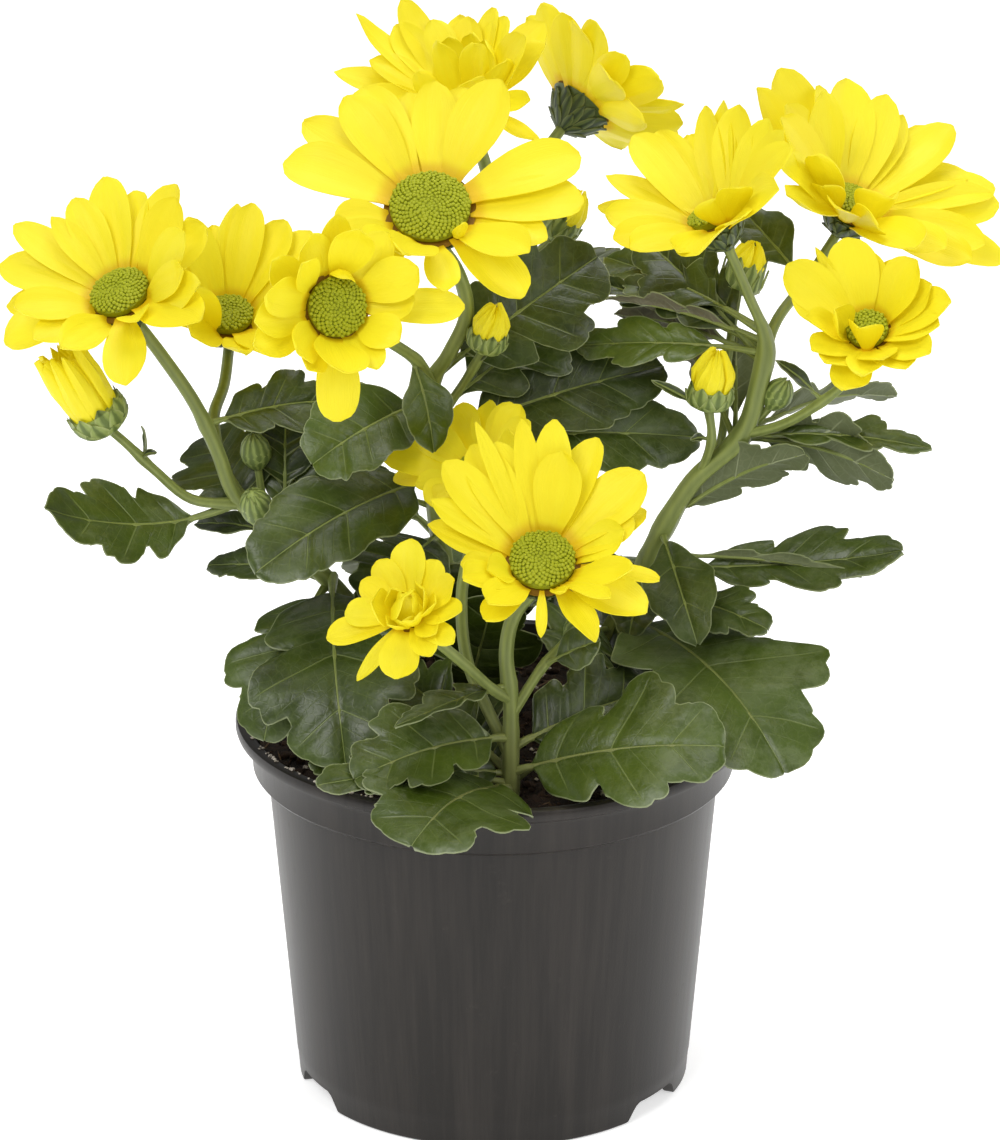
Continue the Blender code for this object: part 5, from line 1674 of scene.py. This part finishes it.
@dataclass
class Blade:
    """The lobed blade of a leaf."""

    leaf: Leaf
    form: Form
    chance: random.Random
    slant: float = 0.2
    thickness: float = 0.55
    probe: float = 1e-3

    def side_knots(self) -> list[Array]:
        """The outline's knots for each side of the blade, with small differences.

        Returns:
            The knots of the right and the left side.
        """
        sides = []
        for _ in range(2):
            knots = np.array(OUTLINES[self.leaf.kind].knots)
            knots[1:-1, 0] += [self.chance.uniform(-0.012, 0.012) for _ in knots[1:-1]]
            knots[1:-1, 1] *= [self.chance.uniform(0.93, 1.04) for _ in knots[1:-1]]
            sides.append(knots)
        return sides

    def flat(self, knots: Array, v: Array, s: Array) -> tuple[Array, Array]:
        """Shares along and across the blade, at shares along and across the sheet."""
        edge, s = smooth_curve(knots, v), s * (1 + OUTLINES[self.leaf.kind].tooth(v) * s)
        return edge[:, 2] + (edge[:, 0] - edge[:, 2]) * s, edge[:, 1] * s

    def measure(self, knots: Array, v: Array, s: Array, size: float) -> tuple[Array, ...]:
        """Measures one side of the flat blade.

        Args:
            knots: Outline of that side.
            v: Shares along the sheet.
            s: Shares across it.
            size: The blade's length.

        Returns:
            Shares along and across the blade, the way from one side vein to the next, and the
            distance to the rim.
        """
        outline, spread = OUTLINES[self.leaf.kind], self.leaf.half_width
        back, ahead = np.clip(v - self.probe, 0, 1), np.clip(v + self.probe, 0, 1)
        along, across = self.flat(knots, v, s)
        (a0, c0), (a1, c1) = self.flat(knots, back, s), self.flat(knots, ahead, s)
        turned = np.maximum(outline.phase(ahead) - outline.phase(back), 1e-9)
        reach = np.hypot((a1 - a0) * size, (c1 - c0) * spread) / turned
        rim = smooth_curve(knots, v)
        ray_x, ray_y = (rim[:, 0] - rim[:, 2]) * size, rim[:, 1] * spread
        run = (smooth_curve(knots, ahead) - smooth_curve(knots, back))[:, :2]
        edge = unit(run * (size, spread))
        return along, across, reach, (1 - s) * np.abs(ray_x * edge[:, 1] - ray_y * edge[:, 0])

    def add(self, batch: Batch) -> None:
        """Adds the blade to a piece.

        Args:
            batch: The piece.
        """
        leaf, line, chance = self.leaf, Midline(self.leaf), self.chance
        spread = leaf.half_width
        u, v, w = self.form.spots
        s, side = np.abs(u), -np.sign(u)
        size = float(np.linalg.norm(line.tip - line.joint)) * (1 - leaf.stalk)
        phase = OUTLINES[leaf.kind].phase(v)
        measures = np.empty((4, len(v)))
        for knots, here in zip(self.side_knots(), (u >= 0, u < 0)):
            measures[:, here] = self.measure(knots, v[here], s[here], size)
        along, across, reach, off_rim = measures
        foot = np.maximum(0.0, along - self.slant * across)
        place, forward, sideways, normal = line.at(leaf.stalk + (1 - leaf.stalk) * foot)
        far = across * spread

        # The blade is folded, swells between its veins, waves, and curls at its rim
        lift = far * (leaf.fold + 0.07 * np.sin(9.0 * along + 2.0 * side) * across)
        lift += 0.045 * spread * s * np.abs(np.sin(math.pi * phase)) ** 0.7
        drift = [chance.uniform(-3.0, 3.0) for _ in range(3)]
        lift += 0.045 * spread * s * np.sin(5.0 * along + 3.5 * across * side + drift[0])
        lift += 0.03 * spread * s ** 2 * np.sin(15.0 * along + 2.0 * side + drift[1])
        crease = np.abs((phase + 0.5) % 1.0 - 0.5) * reach
        lift -= 0.3 * np.exp(-(crease / 0.8) ** 2) * ease(0.3, 4.0, off_rim)
        lift -= 0.4 * np.exp(-(far / 0.7) ** 2) * ease(1.0, 0.85, along)
        lift -= chance.uniform(-0.02, 0.12) * spread * s ** 4
        lift += w * self.thickness * (1.0 - 0.5 * ease(2.0, 0.0, off_rim))
        points = (place + forward * (size * (along - foot))[:, None]
                  + sideways * (np.sign(u) * far)[:, None] + normal * lift[:, None])
        # The tone follows the leaf's shade number: its own green, with painted shade and sheen.
        tone = min(max(leaf.shade + chance.uniform(-0.12, 0.12), 0.0), 1.0)
        batch.add(self.form, points, tone=tone, under=(w < 0).astype(float),
                  phase=phase, reach=reach, off_mid=far / (0.5 - 0.35 * foot), off_rim=off_rim)


class StemFinishes(NamedTuple):
    """What a leafy stem is dressed in."""

    shoot: Material
    blade: Material
    cup: Material
    bud: Material


@dataclass
class LeafyStem:
    """A stem with its shoots, leaf stalks, blades, cups and closed buds."""

    stem: Stem
    sheets: dict[Kind, Form]
    scales: Scales
    finishes: StemFinishes
    sides: int = 24
    ridges: int = 6
    ridge_depth: float = 0.05
    steps_per_span: int = 6
    taper_share: float = 0.14
    joint_swell: float = 0.2
    joint_reach: float = 2.2
    stalk_points: int = 26
    midrib_end: float = 0.94

    def name(self, kind: str) -> str:
        """Name of the stem's piece of a kind."""
        return self.stem.name.replace("stem", kind)

    def profile(self) -> Thing:
        """Makes the ridged section that is swept along the shoots.

        Returns:
            The section, a closed curve of radius 1.
        """
        curve = bpy.data.curves.new("shoot_section", "CURVE")
        spline = curve.splines.new("POLY")
        spline.points.add(self.sides - 1)
        for k, point in enumerate(spline.points):
            a = 2 * math.pi * k / self.sides
            r = 1.0 + self.ridge_depth * math.cos(self.ridges * a)
            point.co = (r * math.cos(a), r * math.sin(a), 0.0, 1.0)
        spline.use_cyclic_u = True
        return link("shoot_section", curve)

    def routes(self) -> Iterator[tuple[Array, Array]]:
        """Ways of the shoots and of the leaf stalks with their midribs.

        Yields:
            Points and radii along each.
        """
        joints = np.array([leaf.joint for leaf in self.stem.leaves], float)
        for shoot in self.stem.shoots:
            knots = tuple(shoot.route) + (tuple(shoot.cup.end),)
            shares = np.linspace(0.0, 1.0, 1 + self.steps_per_span * (len(knots) - 1))
            points = smooth_curve(knots, shares)
            slim = shares
            if shoot.hold:
                slim = ease(shoot.hold, shoot.hold + self.taper_share, shares)
            radii = shoot.start + (shoot.end - shoot.start) * slim
            near = np.min(np.linalg.norm(points[:, None] - joints[None], axis=2), axis=1)
            swell = self.joint_swell * np.exp(-(near / self.joint_reach) ** 2)
            yield points, radii * (1 + swell)
        for leaf in self.stem.leaves:
            shares = np.linspace(0.0, self.midrib_end, self.stalk_points)
            place, _, _, normal = Midline(leaf).at(shares)
            past = np.clip((shares - leaf.stalk) / (1 - leaf.stalk), 0.0, 1.0)
            slim = min(1.0, 0.45 + leaf.half_width / 24.0)
            radii = slim * np.where(past > 0, 0.72 * (1 - past) ** 0.8 + 0.12,
                                    1.25 - 0.5 * shares / max(leaf.stalk, 1e-3))
            drop = np.where(past > 0, 0.25 + radii * 0.55, 0.15)
            yield place - normal * drop[:, None], radii

    def shoots(self) -> Thing:
        """Sweeps the shoots, stalks and midribs as one piece.

        Returns:
            The piece.
        """
        section = self.profile()
        curve = bpy.data.curves.new(self.name("shoots"), "CURVE")
        curve.dimensions = "3D"
        curve.bevel_mode = "OBJECT"
        curve.bevel_object = section
        curve.use_fill_caps = True
        for points, radii in self.routes():
            spline = curve.splines.new("POLY")
            spline.points.add(len(points) - 1)
            for point, co, radius in zip(spline.points, row(points), radii):
                point.co = (*co, 1.0)
                point.radius = radius * MM
        select_only(link(self.name("shoots"), curve))
        bpy.ops.object.convert(target="MESH")
        bpy.data.objects.remove(section)
        thing = bpy.context.object
        mesh = thing.data
        turn = (np.arange(len(mesh.vertices)) % self.sides) / self.sides
        layer = mesh.attributes.new("ridge", "FLOAT", "POINT")
        layer.data.foreach_set("value", 0.5 + 0.5 * np.cos(2 * math.pi * self.ridges * turn))
        mesh.materials.clear()
        mesh.materials.append(self.finishes.shoot)
        return hand_over(thing, Slot.LEAF, [self.stem.name])

    def blades(self) -> Thing:
        """Makes all the stem's leaf blades as one piece.

        Returns:
            The piece.
        """
        batch = Batch(self.name("leaves"))
        chance = random.Random(len(self.stem.leaves) * 41 + len(self.stem.name))
        for leaf in self.stem.leaves:
            Blade(leaf, self.sheets[leaf.kind], chance).add(batch)
        return batch.build(self.finishes.blade, Slot.LEAF)

    def cups(self) -> list[Thing]:
        """Makes the cups of the stem's blooms as one piece and of its buds as another.

        Returns:
            The pieces.
        """
        cups, buds = Batch(self.name("cups")), Batch(self.name("green_buds"))
        chance = random.Random(len(self.stem.shoots) * 29 + len(self.stem.name))
        for shoot in self.stem.shoots:
            cup = shoot.cup
            batch = cups if cup.rings is CUP_RINGS else buds
            self.scales.skin(batch, cup)
            for ring in cup.rings:
                self.scales.ring(batch, cup, ring, chance)
        return [batch.build(finish, Slot.LEAF) for batch, finish in
                ((cups, self.finishes.cup), (buds, self.finishes.bud)) if batch.count]

    def build(self) -> list[Thing]:
        """Makes the stem's pieces."""
        return [self.shoots(), self.blades(), *self.cups()]


# Pot and peat


@dataclass
class Pot:
    """The nursery pot: rolled rim, collar, tapered wall, and a foot ring with notches."""

    finish: Material
    height: float = 90.0
    rim: float = 60.0
    collar: float = 56.4
    collar_foot: float = 78.0
    body: float = 52.6
    body_top: float = 76.4
    foot: float = 46.0
    floor_under: float = 5.0
    wall: float = 1.2
    sides: int = 180
    notches: tuple[float, ...] = (-34.5, 85.5, 205.5)
    notch_half: float = 11.0
    notch_height: float = 4.4
    notch_slope: float = 2.5
    notch_cuts: int = 7
    drains: int = 6
    drain_ring: float = 27.0
    drain_radius: float = 3.5
    drain_depth: float = 8.0

    def profile(self) -> Points:
        """Radius and height of each ring, from under the floor round to its top.

        Returns:
            The rings.
        """
        top, rim, foot, wall = self.height, self.rim, self.foot, self.wall
        collar, turn = self.collar, self.collar_foot
        body, shoulder, under = self.body, self.body_top, self.floor_under
        return ((1.0, under), (foot - 3.4, under), (foot - 3.0, under - 0.5), (foot - 2.8, 0.3),
                (foot - 2.5, 0.0), (foot - 0.4, 0.0), (foot, 0.4), (foot + 0.45, 5.6),
                (foot + 0.62, 6.2), (foot + 0.75, 8.0), (body, shoulder),
                (body + 0.8, shoulder + 0.45), (collar - 1.0, turn - 0.4),
                (collar - 0.3, turn + 0.4), (collar, top - 5.4), (collar + 0.5, top - 4.2),
                (rim - 0.9, top - 3.0), (rim - 0.2, top - 2.6), (rim, top - 2.0),
                (rim, top - 0.9), (rim - 0.3, top - 0.25), (rim - 0.9, top), (rim - 2.3, top),
                (rim - 2.9, top - 0.3), (rim - 3.2, top - 1.2), (collar - wall, top - 4.0),
                (collar - 0.3 - wall, turn + 0.6), (body - wall, shoulder + 0.6),
                (foot - 0.8, under + wall + 0.6), (foot - 1.6, under + wall), (1.0, under + wall))

    def notch(self, azimuth: float) -> Thing:
        """Makes the block that cuts one notch, wider at its foot.

        Args:
            azimuth: Turn of the notch's middle, in degrees.

        Returns:
            The block.
        """
        bpy.ops.mesh.primitive_cube_add(size=2.0)
        block = bpy.context.object
        bpy.ops.object.mode_set(mode="EDIT")
        bpy.ops.mesh.select_all(action="SELECT")
        bpy.ops.mesh.subdivide(number_cuts=self.notch_cuts)
        bpy.ops.object.mode_set(mode="OBJECT")
        for vertex in block.data.vertices:
            x, y, z = vertex.co
            radius = self.foot - 1.5 + 5.5 * x
            height = -0.6 + (self.notch_height + 0.6) * (z + 1) / 2
            grow = -self.notch_slope * math.asin(max(-1.0, min(1.0, z))) / 1.2
            a = math.radians(azimuth + y * (self.notch_half + grow))
            vertex.co = Vector(row([radius * math.cos(a), radius * math.sin(a), height]))
        return block

    def drain(self, turn: float) -> Thing:
        """Makes the peg that cuts one drain hole.

        Args:
            turn: Its turn round the pot.

        Returns:
            The peg.
        """
        ring = self.drain_ring
        spot = row([ring * math.cos(turn), ring * math.sin(turn), self.floor_under])
        bpy.ops.mesh.primitive_cylinder_add(vertices=32, radius=self.drain_radius * MM,
                                            depth=self.drain_depth * MM, location=tuple(spot))
        return settle()

    def build(self) -> list[Thing]:
        """Makes the pot as one piece.

        Returns:
            The piece.
        """
        batch = Batch("pot_shell")
        form = Form.turned(self.profile(), self.sides)
        batch.add(form, form.points)
        thing = batch.shape(self.finish)
        cutters = [self.notch(azimuth) for azimuth in self.notches]
        cutters += [self.drain(2 * math.pi * (i + 0.5) / self.drains) for i in range(self.drains)]
        select_only(thing)
        for cutter in cutters:
            cut = thing.modifiers.new("cut", "BOOLEAN")
            cut.operation = "DIFFERENCE"
            cut.solver = "EXACT"
            cut.object = cutter
            bpy.ops.object.modifier_apply(modifier=cut.name)
            bpy.data.objects.remove(cutter)
        return [hand_over(thing, Slot.POT, ["pot"], 32.0)]


@dataclass
class Peat:
    """The peat: a rough bed with crumbs, fibres and perlite grains on it."""

    finish: Material
    white: Material
    top: float = 84.0
    radius: float = 54.6
    floor: float = 7.0
    floor_radius: float = 44.4
    rings: int = 44
    sides: int = 150
    crumbs: int = 1500
    fibres: int = 260
    grains: int = 120
    litter_radius: float = 54.0
    rim_grains: int = 34
    rim_turns: tuple[float, float] = (194.0, 242.0)
    rim_radii: tuple[float, float] = (57.3, 58.3)
    rim_top: float = 90.0
    bury: float = 0.35
    seed: int = 11

    LUMPS = ((3.0, 0.16, 1.1), (9.0, 0.55, 0.7), (1.0, 1.7, 0.35))

    def level(self, x: float, y: float) -> float:
        """Height of the bed at a place."""
        rough = sum(noise.noise(Vector((x, y, z)) * fine) * deep for z, fine, deep in self.LUMPS)
        return self.top + rough - 0.8 * max(0.0, (math.hypot(x, y) - 44.0) / 10.0)

    def bed(self) -> Thing:
        """Makes the bed as one piece.

        Returns:
            The piece.
        """
        wide, top = self.radius, self.top
        step = (wide - 1.0) / (self.rings - 0.5)
        rings = [(1.0, self.floor), (self.floor_radius, self.floor), (wide - 4.4, top - 8.0),
                 (wide - 0.4, top - 6.0), (wide, top - 2.0)]
        rings += [(wide - 0.15 - i * step, top) for i in range(self.rings)]
        form = Form.turned(rings, self.sides)
        points = form.points.copy()
        for i, (x, y, z) in enumerate(points):
            if z > top - 1.0:
                points[i, 2] = self.level(x, y)
        batch = Batch("peat_bed")
        batch.add(form, points, tone=0.0)
        return batch.build(self.finish, Slot.PEAT, ["soil"], 80.0)

    def lump(self) -> Form:
        """Makes the rough lump, with few faces, that crumbs and grains are copied from.

        Returns:
            The form.
        """
        bpy.ops.mesh.primitive_ico_sphere_add(subdivisions=2, radius=1.0)
        lump = bpy.context.object
        thin = lump.modifiers.new("thin", "DECIMATE")
        thin.ratio = 0.35
        bpy.ops.object.modifier_apply(modifier=thin.name)
        for vertex in lump.data.vertices:
            vertex.co *= 1.0 + 0.38 * noise.noise(vertex.co * 1.6)
        return Form(lump)

    def scatter(self, form: Form, crumbs: Batch, grains: Batch, chance: random.Random) -> None:
        """Scatters crumbs, fibres and perlite over the bed.

        Args:
            form: The lump.
            crumbs: The piece that crumbs and fibres join.
            grains: The piece that perlite joins.
            chance: Source of places and sizes.
        """
        peat = self.crumbs + self.fibres
        for i in range(peat + self.grains):
            r = self.litter_radius * math.sqrt(chance.random())
            a = chance.uniform(0.0, 2 * math.pi)
            x, y = r * math.cos(a), r * math.sin(a)
            turn, tip = chance.uniform(0, 6.28), chance.uniform(-0.4, 0.4)
            if i < self.crumbs:
                size = 0.45 + 1.5 * chance.random() ** 3
                scale = (size, size * chance.uniform(0.6, 1.0), size * chance.uniform(0.5, 0.9))
                tone = chance.random() * 0.85
            elif i < peat:
                scale, tone = (chance.uniform(1.6, 4.0), 0.22, 0.2), chance.uniform(0.92, 1.0)
            else:
                size, tone = chance.uniform(0.45, 1.15), chance.random()
                scale = (size, size * 0.85, size * 0.75)
            turned = (Matrix.Rotation(turn, 3, "Z") @ Matrix.Rotation(-tip, 3, "Y")).transposed()
            spot = form.points * scale @ np.array(turned)
            spot = spot + (x, y, self.level(x, y) + scale[2] * self.bury)
            (crumbs if i < peat else grains).add(form, spot, tone=tone)

    def sprinkle(self, form: Form, grains: Batch, chance: random.Random) -> None:
        """Drops perlite on the pot's rim.

        Args:
            form: The lump.
            grains: The piece that perlite joins.
            chance: Source of places and sizes.
        """
        for _ in range(self.rim_grains):
            a = math.radians(chance.uniform(*self.rim_turns))
            r, size = chance.uniform(*self.rim_radii), chance.uniform(0.22, 0.62)
            spot = form.points * (size, size * 0.8, size * 0.7)
            spot = spot + (r * math.cos(a), r * math.sin(a), self.rim_top + size * self.bury)
            grains.add(form, spot, tone=chance.random())

    def build(self) -> list[Thing]:
        """Makes the bed, its crumbs with the fibres, and the perlite.

        Returns:
            The three pieces.
        """
        bed, form = self.bed(), self.lump()
        crumbs, grains = Batch("peat_crumbs"), Batch("perlite_grains")
        chance = random.Random(self.seed)
        self.scatter(form, crumbs, grains, chance)
        self.sprinkle(form, grains, chance)
        return [bed, crumbs.build(self.finish, Slot.PEAT, (), 60.0),
                grains.build(self.white, Slot.PEAT, (), 60.0)]


# Studio


class Lamp(NamedTuple):
    """A soft square light: place and side in metres, the height that it faces, and its power."""

    name: str
    place: Point
    aim: float
    size: float
    watts: float


@dataclass
class Studio:
    """Floor, soft lights and the camera at the photograph's place."""

    eye: tuple[float, float, float] = (1.6, -1321.0, 631.6)
    pitch: float = 0.366
    lens: float = 193.48
    floor_radius: float = 14.0
    floor_drop: float = 0.0002
    glow: float = 0.24

    LAMPS = (
        Lamp("key", (-0.6, -1.05, 1.3), 0.14, 0.8, 13.0),
        Lamp("fill", (1.0, -0.95, 0.9), 0.12, 0.9, 6.5),
        Lamp("top", (0.1, 0.3, 1.45), 0.15, 1.0, 11.0),
        Lamp("edge_left", (-1.3, 0.35, 0.25), 0.1, 1.0, 4.0),
        Lamp("edge_right", (1.3, 0.35, 0.25), 0.1, 1.0, 5.0),
    )

    def floor(self) -> None:
        """Lays the pale floor."""
        bpy.ops.mesh.primitive_circle_add(vertices=96, radius=self.floor_radius,
                                          fill_type="NGON", location=(0, 0, -self.floor_drop))
        floor = settle()
        floor.name = "studio_floor"
        floor.data.materials.append(FloorFinish().material())

    def hang(self, lamp: Lamp) -> None:
        """Hangs one light.

        Args:
            lamp: The light.
        """
        light = bpy.data.lights.new(lamp.name, "AREA")
        light.shape = "SQUARE"
        light.size = lamp.size
        light.energy = lamp.watts
        thing = link(lamp.name, light)
        thing.location = lamp.place
        ray = Vector((0.0, 0.0, lamp.aim)) - Vector(lamp.place)
        thing.rotation_euler = ray.to_track_quat("-Z", "Y").to_euler()

    def world(self) -> None:
        """Sets the surrounding glow."""
        world = bpy.data.worlds.new("studio_glow")
        world.use_nodes = True
        glow = world.node_tree.nodes["Background"]
        glow.inputs["Color"].default_value = (1.0, 1.0, 1.0, 1.0)
        glow.inputs["Strength"].default_value = self.glow
        bpy.context.scene.world = world

    def camera(self) -> None:
        """Sets up the camera."""
        data = bpy.data.cameras.new("photo_camera")
        data.lens = self.lens
        data.sensor_width = 36.0
        data.clip_start = 0.05
        thing = link("photo_camera", data)
        thing.location = Vector(row(self.eye))
        thing.rotation_euler = (math.pi / 2 - self.pitch, 0.0, 0.0)
        bpy.context.scene.camera = thing

    def build(self) -> None:
        """Sets up the whole studio."""
        self.floor()
        for lamp in self.LAMPS:
            self.hang(lamp)
        self.world()
        self.camera()
        bpy.context.scene.view_settings.view_transform = "Standard"


def main() -> None:
    """Builds the studio and every piece of the plant, and notes the sizes."""
    logging.basicConfig(level=logging.INFO, format="%(message)s")
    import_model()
    Studio().build()
    petal, olive = PetalFinish().material(), FloretFinish().material()
    finishes = StemFinishes(ShootFinish().material(), LeafFinish().material(),
                            BractFinish().material(), YOUNG_BRACT.material())
    sheets = {kind: Form.sheet(18, outline.spans * outline.rows_per_span)
              for kind, outline in OUTLINES.items()}
    scales = Scales(Form.sheet(4, 5), core_form())
    petal_form, bud_form = Form.sheet(12, 16), Form.sheet(8, 10)
    floret, dome = floret_form(), dome_form()
    plant = [Pot(PotFinish().material()),
             Peat(PeatFinish().material(), PerliteFinish().material())]
    plant += [LeafyStem(stem, sheets, scales, finishes) for stem in STEMS]
    for bloom in BLOOMS:
        plant += [Petals(bloom, petal_form, petal), Florets(bloom, floret, dome, olive)]
    plant += [BudPetals(bud, bud_form, petal) for bud in BUDS if bud.open]
    for part in plant:
        for piece in part.build():
            LOG.info("%s: %d faces", piece.name, len(piece.data.polygons))


if __name__ == "__main__":
    main()
